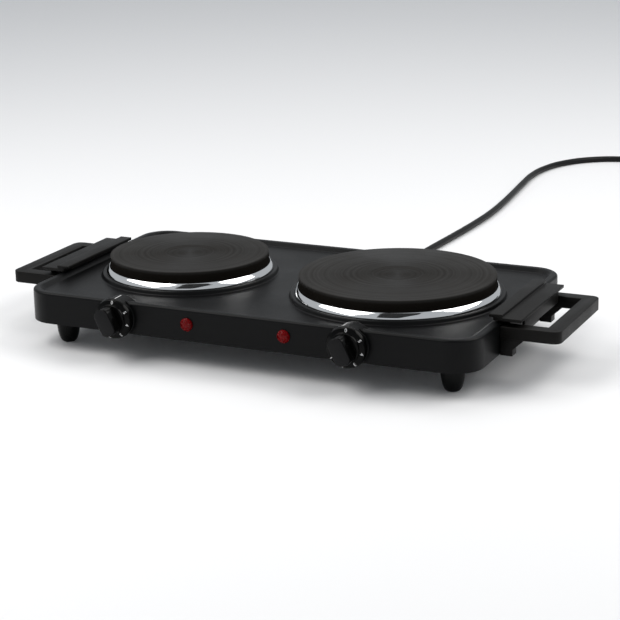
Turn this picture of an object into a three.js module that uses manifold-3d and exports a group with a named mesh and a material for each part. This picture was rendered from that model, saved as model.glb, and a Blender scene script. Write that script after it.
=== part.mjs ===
// Double electric hot plate: a pressed steel pan on four feet, two cast-iron plates with bright
// trim rings, a thermostat and knob for each plate, two lamps, two side handles and a mains lead.
// Millimetres, +Z up, +X to the large plate, -Y to the knobs. The origin is on the table, under the
// middle of the box round the pan, knobs and handles. The lead and its plug are left out of that box.
import * as THREE from "three";
import { mergeVertices } from "three/addons/utils/BufferGeometryUtils.js";
import Module from "manifold-3d";

const wasm = await Module();
wasm.setup();

// ---- driving dimensions ----
const GAP = 0.3; // between two pieces that touch
const CUT = 5; // how far a cutter runs past the wall it cuts
const PAN_LENGTH = 454;
const PAN_WIDTH = 256;
const PAN_CORNER = 28;
const PAN_BOTTOM = 25.4;
const RIM_TOP = 55.5;
const SHEET = 1.2; // pan wall
const RIM_ROUND = 2.5; // rounding of the rim's outer edge
const RIM_FLAT = 6.5; // outer wall to the start of the inner slope
const RIM_SLOPE = 5; // plan width of the inner slope
const TRAY_DEPTH = 3.7; // rim top to tray floor
const COLLAR_RISE = 4; // tray floor to collar top
const COLLAR_SPREAD = 9.3; // plate edge to collar edge
const COLLAR_SLOPE = 1.4; // plan width of the collar's side
const PLATE_LEDGE = 8; // plate edge to the edge of the hole in the pan
const PLATE_TOP = 72.4;
const PLATE_SLAB = 9; // plate thickness over the element
const PLATE_EDGE = 1.2; // chamfer of the plate's upper edge
const SMALL_PLATE = { name: "small", x: -115, radius: 77.5 };
const LARGE_PLATE = { name: "large", x: 105, radius: 92.5 };
const DISH_RADIUS = 23; // shallow dish in the middle of a plate
const DISH_DEPTH = 1.2;
const SKIRT_WALL = 5; // plate skirt round the element
const HUB_RADIUS = 12; // boss under the plate that takes the stud
const HUB_DROP = 3.4;
const RING_SHEET = 0.8;
const RING_TOP = 61.7;
const RING_SPREAD = 4.6; // plate edge to ring edge
const RING_LIP = 0.8; // plate edge to ring lip
const RING_BULGE = 0.5; // how far the ring's slope swells outwards
const COVER_DROP = 4.8; // plate's slab to the cover disc under its element
const STUD_RADIUS = 4;
const STUD_BITE = 3; // stud into the plate's slab
const STUD_REACH = 6.7; // stud below the base plate
const NUT_HIGH = 5;
const NUT_FLATS = 13; // across flats
const BAR_WIDE = 22;
const BAR_THICK = 2;
const BLOCK = { long: 30, wide: 18, drop: 10, place: 0.55 }; // place is a share of the radius
const BASE_SHEET = 1;
const BASE_RISE = 1; // base sheet above the pan's bottom edge
const BASE_FLANGE = 6;
const BASE_CLEAR = 0.5; // base flange to pan wall
const SLOT = { count: 6, length: 34, wide: 3.4, pitch: 12 };
const TERMINAL = { x: -24, fromRear: 34, long: 34, wide: 18, high: 13.7 };
const CONTROLS = [
  { name: "left", x: -124 },
  { name: "right", x: 111.5 },
];
const CONTROL_Z = 40.3;
const BOSS_RADIUS = 18.2;
const BOSS_PROUD = 3.5; // boss face in front of the pan wall
const BOSS_LENGTH = 17; // boss face to the start of its taper
const BOSS_TAPER = 15;
const BOSS_SINK = 1; // boss's tip under the tray
const KNOB_RADIUS = 19.4;
const KNOB_LIFT = 0.8; // boss face to knob skirt
const KNOB_SKIRT = 5.2;
const KNOB_CONE = 1.2; // how much narrower the skirt is in front
const DIAL_FALL = 1; // the numbered face falls back towards its edge
const DIAL_INNER = 14; // radius of the raised middle inside the numbers
const KNOB_STEP = 2; // raised middle in front of the numbered face
const KNOB_WALL = 5;
const KNOB_REACH = 23; // grip face in front of the pan wall
const GRIP_WIDE = 16.5;
const GRIP_LONG = 26.5;
const GRIP_CORNER = 6;
const GRIP_TILT = 26; // degrees that the grip leans at off
const SHAFT_RADIUS = 3;
const SHAFT_CLEAR = 0.4;
const SHAFT_GRIP = 6; // knob's face to the shaft's end
const SHAFT_DEEP = 36; // pan wall to the shaft's inner end
const BUSH_RADIUS = 4.8;
const BUSH_PROUD = 3;
const PANEL_NUT = { flats: 14, high: 2.4 };
const PANEL = { half: 11.5, high: 8, sheet: 1.5 }; // thermostat's mounting plate
const NECK = 6.5; // half the size of the thermostat's neck
const SWITCH = { half: 11, lead: 3, deep: 21, drop: 10 };
const LAMPS = [
  { name: "left", x: -50 },
  { name: "right", x: 48 },
];
const LAMP_Z = 41.3;
const LENS_RADIUS = 6.2;
const LENS_PROUD = 4.5;
const LENS_BODY = 4.8;
const LENS_DEEP = 14; // lens's body behind the pan wall
const LENS_FACE = 1; // inside of the lens in front of the pan wall
const NEON_RADIUS = 2.7;
const NEON_DEEP = 17;
const CLIP = { wide: 2.2, thick: 1.2 };
const FOOT_X = 197;
const FOOT_Y = 97;
const FOOT_TOP_RADIUS = 11;
const FOOT_END_RADIUS = 4.8;
const FOOT_CURVE = 0.75; // share of its height that is curved
const FOOT_STEPS = 6;
const FOOT_BORE = 8; // solid below the screw's hole
const SCREW_RADIUS = 2;
const SCREW_END = 2; // screw's tip to the end of its hole
const HANDLE_SPAN = 123; // front to back
const HANDLE_REACH = 55.5; // loop beyond the pan's end wall
const HANDLE_TOP = 51.8;
const HANDLE_DEEP = 11.2;
const HANDLE_ARM = 13;
const HANDLE_BAR = 14.5;
const HANDLE_CORNER = 8;
const HANDLE_EASE = 1.5; // chamfer of the loop's edges
const HANDLE_SCREW = 12;
const WALL_CLEAR = 0.4; // handle to pan
const LEG_OUT = 21; // width of a leg under its arm
const LEG_FOOT = 11.5; // width of a leg at its foot
const LEG_DROP = 0.5; // leg's foot below the pan's bottom edge
const LEG_STRAIGHT = 6; // upright part of a leg's outer edge
const SADDLE_IN = 10; // saddle edge inside the end wall
const SADDLE_STEP = 2.5; // end of the high tier outside the end wall
const SADDLE_OUT = 20; // edge of the low tier outside the end wall
const SADDLE_HIGH = 62.5;
const SADDLE_LOW = 59.5;
const SADDLE_THICK = 3;
const SADDLE_RISE = 4; // saddle's inner edge to its step
const WEB = { thick: 5, drop: 3, lip: 2.5, lipEdge: 1, lipLow: 6 }; // under the saddle
const CORD_RADIUS = 3.75;
const GLAND_X = 0;
const GLAND_Z = 40.5;
const GLAND_LENGTH = 27; // strain relief outside the rear wall
const GLAND_NECK = 5.2;
const GLAND_FLANGE = 6.8;
const GLAND_COLLAR = 4;
const GLAND_INSIDE = 10;
const TIP_WALL = 1.2; // strain relief round the lead at its thin end
const CORD_SIDES = 10;
const COIL_CENTRE = { x: 150, y: 841.5 };
const COIL_RADIUS = 41.25; // to the middle of the lead
const COIL_LAYERS = 2;
const PLUG = { long: 52, wide: 46, high: 20, entry: 10.5, corner: 12, ease: 2 };
const PLUG_SLEEVE = 22; // plug body to the lead's entry
const PLUG_FLARE = 8; // sleeve's radius at the plug body
const PLUG_LEAD = 32; // coil to the plug's sleeve
const PIN_SPREAD = 22.2; // line pins apart, and earth pin from their line
const PIN_ROOT = 4;
const ROUND = 48; // segments of a plate or ring
const FINE = 16; // segments of a small turned piece

// ---- derived levels and planes ----
const PAN_Y = KNOB_REACH / 2;
const FRONT = PAN_Y - PAN_WIDTH / 2;
const REAR = PAN_Y + PAN_WIDTH / 2;
const END = PAN_LENGTH / 2;
const TRAY_Z = RIM_TOP - TRAY_DEPTH;
const COLLAR_Z = TRAY_Z + COLLAR_RISE;
const RING_Z = COLLAR_Z + GAP;
const SKIRT_Z = RING_Z + RING_SHEET + GAP;
const SLAB_Z = PLATE_TOP - PLATE_SLAB;
const BASE_Z = PAN_BOTTOM + BASE_RISE;
const BASE_TOP = BASE_Z + BASE_SHEET;
const BOSS_FACE = FRONT - BOSS_PROUD;
const STUD_TOP = SLAB_Z + STUD_BITE;
const HUB_LOW = SLAB_Z - HUB_DROP;
const COVER_Z = SLAB_Z - COVER_DROP;
const BAR_Z = COLLAR_Z - SHEET - GAP - BAR_THICK;
const FOOT_SCREW = BASE_TOP + GAP - FOOT_BORE - SCREW_END;
const BUSH_END = BOSS_FACE - BUSH_PROUD;
const SHAFT_BACK = FRONT + SHAFT_DEEP;
const SHAFT_FRONT = FRONT - KNOB_REACH + SHAFT_GRIP;
const HANDLE_LOW = HANDLE_TOP - HANDLE_DEEP;
const HANDLE_SCREW_Z = HANDLE_TOP - HANDLE_DEEP / 2;
const GLAND_EXIT = REAR + GLAND_LENGTH;
const FEET = [
  { name: "front_left", x: -FOOT_X, y: PAN_Y - FOOT_Y },
  { name: "front_right", x: FOOT_X, y: PAN_Y - FOOT_Y },
  { name: "rear_left", x: -FOOT_X, y: PAN_Y + FOOT_Y },
  { name: "rear_right", x: FOOT_X, y: PAN_Y + FOOT_Y },
];

// A lead that runs into the coil along its tangent stops here, short of the tangent point.
const COIL_WALL = CORD_RADIUS + GAP;
const COIL_MOUTH = GAP + Math.sqrt((COIL_RADIUS + COIL_WALL) ** 2 - (COIL_RADIUS - CORD_RADIUS) ** 2);
const TAIL = { x: COIL_CENTRE.x + COIL_RADIUS, y: COIL_CENTRE.y - COIL_MOUTH, z: 3 * CORD_RADIUS };
const PLUG_ENTRY = TAIL.y - PLUG_LEAD;
const PLUG_REAR = PLUG_ENTRY - PLUG_SLEEVE;

// ---- materials ----
const paint = { color: 0x1b1c1e, roughness: 0.45, metalness: 0.2 };
const iron = { color: 0x2a2927, roughness: 0.62, metalness: 0.6 };
const chrome = { color: 0xdfe2e5, roughness: 0.08, metalness: 1 };
const steel = { color: 0xa4a7aa, roughness: 0.35, metalness: 1 };
const brass = { color: 0xb89a52, roughness: 0.3, metalness: 1 };
const plastic = { color: 0x1a1a1a, roughness: 0.55, metalness: 0 };
const gloss = { color: 0x0c0c0d, roughness: 0.15, metalness: 0 };
const ceramic = { color: 0xd9d4c8, roughness: 0.7, metalness: 0 };
const redLens = { color: 0xa50d12, roughness: 0.12, metalness: 0 };
const glass = { color: 0xe6c9b0, roughness: 0.05, metalness: 0 };
const vinyl = { color: 0x161616, roughness: 0.5, metalness: 0 };

// ---- solids ----
function solid(geometry) {
  const bare = geometry.clone();
  bare.deleteAttribute("normal");
  bare.deleteAttribute("uv");
  const merged = mergeVertices(bare, 1e-4);
  const kept = [];
  const index = merged.index.array;
  for (let i = 0; i < index.length; i += 3) {
    const [a, b, c] = [index[i], index[i + 1], index[i + 2]];
    if (a !== b && b !== c && c !== a) kept.push(a, b, c);
  }
  return new wasm.Manifold(
    new wasm.Mesh({
      numProp: 3,
      vertProperties: merged.attributes.position.array,
      triVerts: new Uint32Array(kept),
    }),
  );
}

function surface(shape) {
  const mesh = shape.getMesh();
  const geometry = new THREE.BufferGeometry();
  geometry.setAttribute("position", new THREE.BufferAttribute(mesh.vertProperties, 3));
  geometry.setIndex(new THREE.BufferAttribute(mesh.triVerts, 1));
  geometry.computeVertexNormals();
  return geometry;
}

const join = (...shapes) => shapes.reduce((all, next) => all.add(next));
const cut = (from, ...shapes) => shapes.reduce((left, next) => left.subtract(next), from);

// A turned piece about Z. The profile holds [radius, height] pairs and runs either way.
function turned(profile, segments = FINE) {
  const points = profile.map(([r, z]) => new THREE.Vector2(r, z));
  if (THREE.ShapeUtils.area(points) < 0) points.reverse();
  const open = profile[0][0] > 0;
  const closed = open ? [...points, points[0].clone()] : points;
  return solid(new THREE.LatheGeometry(closed, segments).rotateX(Math.PI / 2));
}

const disc = (radius, low, high, segments = FINE) =>
  turned([[0, low], [radius, low], [radius, high], [0, high]], segments);

const annulus = (inner, outer, low, high, segments = FINE) =>
  turned([[inner, low], [outer, low], [outer, high], [inner, high]], segments);

const box = (x0, x1, y0, y1, z0, z1) =>
  solid(
    new THREE.BoxGeometry(x1 - x0, y1 - y0, z1 - z0).translate(
      (x0 + x1) / 2,
      (y0 + y1) / 2,
      (z0 + z1) / 2,
    ),
  );

// A piece turned about Z is laid over so that its axis runs from front to back at (x, z).
const alongY = (shape, x, z) => shape.rotate([-90, 0, 0]).translate([x, 0, z]);

// The same with the axis along X at (y, z).
const alongX = (shape, y, z) => shape.rotate([0, 90, 0]).translate([0, y, z]);

function roundedRect(length, width, corner) {
  const x = length / 2 - corner;
  const y = width / 2 - corner;
  const shape = new THREE.Shape();
  shape.absarc(x, y, corner, 0, Math.PI / 2);
  shape.absarc(-x, y, corner, Math.PI / 2, Math.PI);
  shape.absarc(-x, -y, corner, Math.PI, 1.5 * Math.PI);
  shape.absarc(x, -y, corner, 1.5 * Math.PI, 2 * Math.PI);
  return shape;
}

// A rounded block inset from the pan's outline; edge says how its top and bottom edges are eased.
function panBlock(inset, low, high, edge = null) {
  const outline = roundedRect(
    PAN_LENGTH - 2 * inset,
    PAN_WIDTH - 2 * inset,
    PAN_CORNER - inset,
  );
  const ease = edge ? edge.high : 0;
  const geometry = new THREE.ExtrudeGeometry(outline, {
    depth: high - low - 2 * ease,
    curveSegments: 4,
    bevelEnabled: edge !== null,
    bevelThickness: ease,
    bevelSize: edge ? edge.wide : 0,
    bevelOffset: edge ? edge.offset : 0,
    bevelSegments: 2,
  });
  return solid(geometry.translate(0, PAN_Y, low + ease));
}

// An outline of [x, z] points drawn out along Y between two planes.
function drawnAlongY(outline, y0, y1) {
  const shape = new THREE.Shape(outline.map(([x, z]) => new THREE.Vector2(x, z)));
  const settings = { depth: y1 - y0, bevelEnabled: false };
  const geometry = new THREE.ExtrudeGeometry(shape, settings);
  return solid(geometry.rotateX(Math.PI / 2).translate(0, y1, 0));
}

function hexNut(flats, bore, high) {
  const corner = flats / Math.sqrt(3);
  return cut(disc(corner, 0, high, 6), disc(bore, -1, high + 1));
}

// A pan-head screw pointing down, with the underside of its head at zero.
function screw(shank, length) {
  const head = 2.1 * shank;
  const high = 1.25 * shank;
  return turned([
    [0, -length],
    [shank, -length],
    [shank, 0],
    [head, 0],
    [head, high * 0.55],
    [head * 0.6, high],
    [0, high],
  ]);
}

const part = new THREE.Group();

function add(name, shape, finish) {
  const mesh = new THREE.Mesh(surface(shape), new THREE.MeshStandardMaterial(finish));
  mesh.name = name;
  part.add(mesh);
}

// ---- pan ----
function plateCollar(plate, shrink, low) {
  const edge = plate.radius + COLLAR_SPREAD - shrink;
  const top = COLLAR_Z - shrink;
  const profile = [[0, low], [edge, low], [edge, TRAY_Z - shrink], [edge - COLLAR_SLOPE, top], [0, top]];
  return turned(profile, ROUND).translate([plate.x, PAN_Y, 0]);
}

function knobBoss(control, shrink) {
  const radius = BOSS_RADIUS - shrink;
  const face = BOSS_FACE + shrink;
  const back = BOSS_FACE + BOSS_LENGTH;
  const tip = TRAY_Z - CONTROL_Z - BOSS_SINK - shrink;
  const profile = [
    [0, face],
    [radius - RIM_ROUND, face],
    [radius, face + RIM_ROUND],
    [radius, back],
    [tip, back + BOSS_TAPER],
    [0, back + BOSS_TAPER],
  ];
  return alongY(turned(profile, ROUND / 2), control.x, CONTROL_Z);
}

function topPan() {
  const plates = [SMALL_PLATE, LARGE_PLATE];
  const under = PAN_BOTTOM - CUT;
  const over = RIM_TOP + TRAY_DEPTH + CUT;
  const rim = { high: RIM_ROUND, wide: RIM_ROUND, offset: -RIM_ROUND };
  const slope = { high: TRAY_DEPTH, wide: RIM_SLOPE, offset: 0 };
  const inset = RIM_FLAT + RIM_SLOPE;
  const outside = join(
    cut(panBlock(0, under, RIM_TOP, rim), panBlock(inset, TRAY_Z, over, slope)),
    ...plates.map((plate) => plateCollar(plate, 0, PAN_BOTTOM)),
    ...CONTROLS.map((control) => knobBoss(control, 0)),
  );
  const underTray = panBlock(inset - SHEET, TRAY_Z - SHEET, over, slope);
  const inside = join(
    cut(panBlock(SHEET, under - CUT, RIM_TOP - SHEET, rim), underTray),
    ...plates.map((plate) => plateCollar(plate, SHEET, under)),
    ...CONTROLS.map((control) => knobBoss(control, SHEET)),
  );
  const open = box(-PAN_LENGTH, PAN_LENGTH, -PAN_LENGTH, PAN_LENGTH, under - CUT, PAN_BOTTOM);
  return cut(outside, inside, open, ...panHoles());
}

function panHoles() {
  const plates = [SMALL_PLATE, LARGE_PLATE].map(({ x, radius }) =>
    disc(radius - PLATE_LEDGE, PAN_BOTTOM, PLATE_TOP, ROUND).translate([x, PAN_Y, 0]),
  );
  const shafts = CONTROLS.map(({ x }) =>
    alongY(disc(BUSH_RADIUS + SHAFT_CLEAR, BOSS_FACE - CUT, FRONT + CUT), x, CONTROL_Z),
  );
  const lamps = LAMPS.map(({ x }) =>
    alongY(disc(LENS_BODY + GAP, FRONT - CUT, FRONT + CUT), x, LAMP_Z),
  );
  const gland = alongY(disc(GLAND_NECK + GAP, REAR - CUT, REAR + CUT), GLAND_X, GLAND_Z);
  const handles = handleScrewPlaces().map(({ side, y }) =>
    alongX(disc(SCREW_RADIUS + GAP, side * END - CUT, side * END + CUT), y, HANDLE_SCREW_Z),
  );
  return [...plates, ...shafts, ...lamps, gland, ...handles];
}

// ---- base ----
function basePlate() {
  const inset = SHEET + BASE_CLEAR;
  const tray = cut(
    panBlock(inset, BASE_Z, BASE_TOP + BASE_FLANGE),
    panBlock(inset + BASE_SHEET, BASE_TOP, BASE_TOP + BASE_FLANGE + CUT),
  );
  const hole = (x, y, radius) => disc(radius, BASE_Z - CUT, BASE_TOP + CUT).translate([x, y, 0]);
  const studs = [SMALL_PLATE, LARGE_PLATE].map(({ x }) => hole(x, PAN_Y, STUD_RADIUS + GAP));
  const screws = FEET.map(({ x, y }) => hole(x, y, SCREW_RADIUS + GAP));
  return cut(tray, ...studs, ...screws, ...coolingSlots());
}

// A row of slots in front of and behind each plate's stud.
function coolingSlots() {
  const slots = [];
  for (const { x } of [SMALL_PLATE, LARGE_PLATE]) {
    for (const side of [-1, 1]) {
      for (let i = 0; i < SLOT.count; i += 1) {
        const middle = x + (i - (SLOT.count - 1) / 2) * SLOT.pitch;
        const y = PAN_Y + side * (FOOT_Y - SLOT.length);
        const half = SLOT.wide / 2;
        const [y0, y1] = [y - SLOT.length / 2, y + SLOT.length / 2];
        slots.push(box(middle - half, middle + half, y0, y1, BASE_Z - CUT, BASE_TOP + CUT));
      }
    }
  }
  return slots;
}

function foot() {
  const top = BASE_Z - GAP;
  const spread = FOOT_TOP_RADIUS - FOOT_END_RADIUS;
  const curved = FOOT_CURVE * top;
  const profile = [[0, 0]];
  for (let i = 0; i <= FOOT_STEPS; i += 1) {
    const turn = (i / FOOT_STEPS) * (Math.PI / 2);
    profile.push([FOOT_END_RADIUS + spread * Math.sin(turn), curved * (1 - Math.cos(turn))]);
  }
  profile.push([FOOT_TOP_RADIUS, top], [0, top]);
  return cut(turned(profile), disc(SCREW_RADIUS + GAP, FOOT_BORE, top + CUT));
}

for (const { name, x, y } of FEET) {
  add(`${name}_foot`, foot().translate([x, y, 0]), plastic);
  const place = [x, y, BASE_TOP + GAP];
  add(`${name}_foot_screw`, screw(SCREW_RADIUS, FOOT_SCREW).translate(place), steel);
}

// ---- hot plates ----
function ironPlate({ radius }) {
  return turned(
    [
      [0, PLATE_TOP - DISH_DEPTH],
      [DISH_RADIUS - DISH_DEPTH, PLATE_TOP - DISH_DEPTH],
      [DISH_RADIUS, PLATE_TOP],
      [radius - PLATE_EDGE, PLATE_TOP],
      [radius, PLATE_TOP - PLATE_EDGE],
      [radius, SKIRT_Z],
      [radius - SKIRT_WALL, SKIRT_Z],
      [radius - SKIRT_WALL, SLAB_Z],
      [HUB_RADIUS, SLAB_Z],
      [HUB_RADIUS, HUB_LOW],
      [STUD_RADIUS + GAP, HUB_LOW],
      [STUD_RADIUS + GAP, STUD_TOP + GAP],
      [0, STUD_TOP + GAP],
    ],
    ROUND,
  );
}

// A flat foot, a slope that swells a little, and a lip round the plate.
function trimRing({ radius }) {
  const inner = radius - SKIRT_WALL + 1;
  const lip = radius + RING_LIP;
  const edge = radius + RING_SPREAD;
  const foot = RING_Z + RING_SHEET;
  const middle = [(lip + RING_SHEET + edge) / 2 + RING_BULGE, (foot + RING_TOP) / 2 + RING_BULGE];
  return turned(
    [
      [inner, RING_Z],
      [edge, RING_Z],
      [edge, foot],
      middle,
      [lip + RING_SHEET, RING_TOP],
      [lip, RING_TOP],
      [lip, RING_TOP - RING_SHEET],
      [middle[0] - RING_SHEET, middle[1] - RING_SHEET],
      [edge - 2 * RING_SHEET, foot],
      [inner, foot],
    ],
    ROUND,
  );
}

function heatingSet(plate) {
  const { name, x, radius } = plate;
  const at = (shape) => shape.translate([x, PAN_Y, 0]);
  const inner = radius - SKIRT_WALL - 2 * GAP;
  const through = STUD_RADIUS + GAP;
  const nut = hexNut(NUT_FLATS, through, NUT_HIGH);
  const bar = box(-radius + 1, radius - 1, -BAR_WIDE / 2, BAR_WIDE / 2, BAR_Z, BAR_Z + BAR_THICK);
  const stud = disc(STUD_RADIUS, BASE_Z - STUD_REACH, STUD_TOP);
  const coverTop = COVER_Z + RING_SHEET;
  add(`${name}_hot_plate`, at(ironPlate(plate)), iron);
  add(`${name}_trim_ring`, at(trimRing(plate)), chrome);
  const bed = annulus(HUB_RADIUS + 2, inner, coverTop + GAP, SLAB_Z - GAP, ROUND);
  add(`${name}_element_bed`, at(bed), ceramic);
  add(`${name}_cover_disc`, at(annulus(through, inner, COVER_Z, coverTop, ROUND)), steel);
  add(`${name}_clamp_bar`, at(cut(bar, disc(through, BAR_Z - CUT, COVER_Z))), steel);
  add(`${name}_centre_stud`, at(stud), steel);
  add(`${name}_clamp_nut`, at(nut.translate([0, 0, BAR_Z - GAP - NUT_HIGH])), steel);
  add(`${name}_base_nut`, at(nut.translate([0, 0, BASE_Z - GAP - NUT_HIGH])), steel);
  add(`${name}_connector_block`, at(connectorBlock(radius)), ceramic);
}

// The porcelain block under the plate's rear half, where its leads are joined.
function connectorBlock(radius) {
  const [half, deep] = [BLOCK.long / 2, BLOCK.wide / 2];
  const y = radius * BLOCK.place;
  return box(-half, half, y - deep, y + deep, BAR_Z - BLOCK.drop, COVER_Z - GAP);
}

heatingSet(SMALL_PLATE);
heatingSet(LARGE_PLATE);

// ---- controls ----
function thermostat({ x }) {
  const panel = BOSS_FACE + SHEET + GAP;
  const behind = panel + PANEL.sheet;
  const top = TRAY_Z - SHEET - 1;
  const start = SHAFT_BACK - SWITCH.lead;
  const end = SHAFT_BACK + SWITCH.deep;
  const body = join(
    box(-SWITCH.half, SWITCH.half, start, end, CONTROL_Z - SWITCH.drop, top),
    box(-NECK - 1, NECK + 1, behind - GAP, SHAFT_BACK, CONTROL_Z - NECK, CONTROL_Z + NECK),
    box(-PANEL.half, PANEL.half, panel, behind, CONTROL_Z - PANEL.high, CONTROL_Z + PANEL.high),
  ).translate([x, 0, 0]);
  const bush = alongY(disc(BUSH_RADIUS, BUSH_END, behind), x, CONTROL_Z);
  const bore = disc(SHAFT_RADIUS + SHAFT_CLEAR, BUSH_END - CUT, SHAFT_BACK + GAP);
  return cut(join(body, bush), alongY(bore, x, CONTROL_Z));
}

function grip() {
  const skirtFront = BOSS_FACE - KNOB_LIFT - KNOB_SKIRT;
  const face = FRONT - KNOB_REACH;
  const root = skirtFront + 1;
  const outline = roundedRect(GRIP_WIDE, GRIP_LONG, GRIP_CORNER);
  const settings = { depth: root - face, curveSegments: 2, bevelEnabled: false };
  const geometry = new THREE.ExtrudeGeometry(outline, settings);
  return solid(geometry.rotateX(Math.PI / 2).translate(0, root, 0));
}

function knob({ x }) {
  const back = BOSS_FACE - KNOB_LIFT;
  const front = back - KNOB_SKIRT;
  const skirt = [
    [0, back],
    [KNOB_RADIUS, back],
    [KNOB_RADIUS, back - 1.5],
    [KNOB_RADIUS - KNOB_CONE, front + DIAL_FALL],
    [DIAL_INNER + 0.4, front],
    [DIAL_INNER, front - KNOB_STEP],
    [0, front - KNOB_STEP],
  ];
  const body = alongY(turned(skirt, ROUND / 2), 0, 0);
  const bar = grip().rotate([0, -GRIP_TILT, 0]);
  const inside = disc(KNOB_RADIUS - KNOB_WALL, BUSH_END - 1.4, back + CUT);
  const bore = disc(SHAFT_RADIUS + GAP, SHAFT_FRONT - GAP, back + CUT);
  return cut(join(body, bar), alongY(inside, 0, 0), alongY(bore, 0, 0)).translate([x, 0, CONTROL_Z]);
}

for (const control of CONTROLS) {
  const { name, x } = control;
  add(`${name}_thermostat`, thermostat(control), ceramic);
  const shaft = disc(SHAFT_RADIUS, SHAFT_FRONT, SHAFT_BACK);
  add(`${name}_control_shaft`, alongY(shaft, x, CONTROL_Z), brass);
  const nut = hexNut(PANEL_NUT.flats, BUSH_RADIUS + GAP, PANEL_NUT.high);
  const outside = nut.translate([0, 0, BOSS_FACE - GAP - PANEL_NUT.high]);
  add(`${name}_panel_nut`, alongY(outside, x, CONTROL_Z), steel);
  add(`${name}_knob`, knob(control), gloss);
}

// ---- lamps ----
function lampLens() {
  const front = FRONT - LENS_PROUD;
  return turned([
    [0, front],
    [LENS_RADIUS * 0.55, front + 0.5],
    [LENS_RADIUS - 0.8, front + 2.1],
    [LENS_RADIUS, front + 3.1],
    [LENS_RADIUS, FRONT - GAP],
    [LENS_BODY, FRONT - GAP],
    [LENS_BODY, FRONT + LENS_DEEP],
    [NEON_RADIUS + GAP, FRONT + LENS_DEEP],
    [NEON_RADIUS + GAP, FRONT - LENS_FACE],
    [0, FRONT - LENS_FACE],
  ]);
}

function neonLamp() {
  const tip = FRONT - LENS_FACE + GAP;
  return turned([
    [0, tip],
    [NEON_RADIUS - 1, tip],
    [NEON_RADIUS, tip + 1.7],
    [NEON_RADIUS, FRONT + NEON_DEEP],
    [0, FRONT + NEON_DEEP],
  ]);
}

function lensClip() {
  const inside = FRONT + SHEET + GAP;
  return annulus(LENS_BODY + GAP, LENS_BODY + GAP + CLIP.wide, inside, inside + CLIP.thick);
}

for (const { name, x } of LAMPS) {
  add(`${name}_lamp_lens`, alongY(lampLens(), x, LAMP_Z), redLens);
  add(`${name}_neon_lamp`, alongY(neonLamp(), x, LAMP_Z), glass);
  add(`${name}_lens_clip`, alongY(lensClip(), x, LAMP_Z), steel);
}

// ---- handles ----
function handleScrewPlaces() {
  const arm = (HANDLE_SPAN - HANDLE_ARM) / 2;
  const places = [];
  for (const side of [-1, 1]) {
    for (const [name, y] of [["front", PAN_Y - arm], ["rear", PAN_Y + arm]]) {
      places.push({ side, name, y });
    }
  }
  return places;
}

// The U-shaped grip in plan: outer corners rounded, open towards the pan.
function handleLoop() {
  const near = END + WALL_CLEAR;
  const far = END + HANDLE_REACH;
  const half = HANDLE_SPAN / 2;
  const inside = half - HANDLE_ARM;
  const corner = HANDLE_CORNER;
  const plan = new THREE.Shape();
  plan.moveTo(near, -half);
  plan.absarc(far - corner, -half + corner, corner, -Math.PI / 2, 0);
  plan.absarc(far - corner, half - corner, corner, 0, Math.PI / 2);
  plan.lineTo(near, half);
  plan.lineTo(near, inside);
  plan.lineTo(far - HANDLE_BAR, inside);
  plan.lineTo(far - HANDLE_BAR, -inside);
  plan.lineTo(near, -inside);
  const geometry = new THREE.ExtrudeGeometry(plan, {
    depth: HANDLE_DEEP - 2 * HANDLE_EASE,
    curveSegments: 3,
    bevelThickness: HANDLE_EASE,
    bevelSize: HANDLE_EASE,
    bevelOffset: -HANDLE_EASE,
    bevelSegments: 1,
  });
  const loop = solid(geometry.translate(0, PAN_Y, HANDLE_LOW + HANDLE_EASE));
  const bore = disc(SCREW_RADIUS + GAP, END - CUT, END + HANDLE_SCREW + SCREW_END);
  const bores = handleScrewPlaces()
    .filter(({ side }) => side === 1)
    .map(({ y }) => alongX(bore, y, HANDLE_SCREW_Z));
  return cut(join(loop, handleLeg(-1), handleLeg(1)), ...bores);
}

// The leg under an arm, against the pan's end wall.
function handleLeg(side) {
  const near = END + WALL_CLEAR;
  const foot = PAN_BOTTOM - LEG_DROP;
  const inLoop = HANDLE_LOW + HANDLE_EASE + 0.5;
  const outline = [
    [near, inLoop],
    [near, foot],
    [near + LEG_FOOT, foot],
    [near + LEG_FOOT, foot + LEG_STRAIGHT],
    [near + LEG_OUT, HANDLE_LOW - 1],
    [near + LEG_OUT, inLoop],
  ];
  const middle = PAN_Y + (side * (HANDLE_SPAN - HANDLE_ARM)) / 2;
  const half = HANDLE_ARM / 2 - HANDLE_EASE;
  return drawnAlongY(outline, middle - half, middle + half);
}

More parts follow.
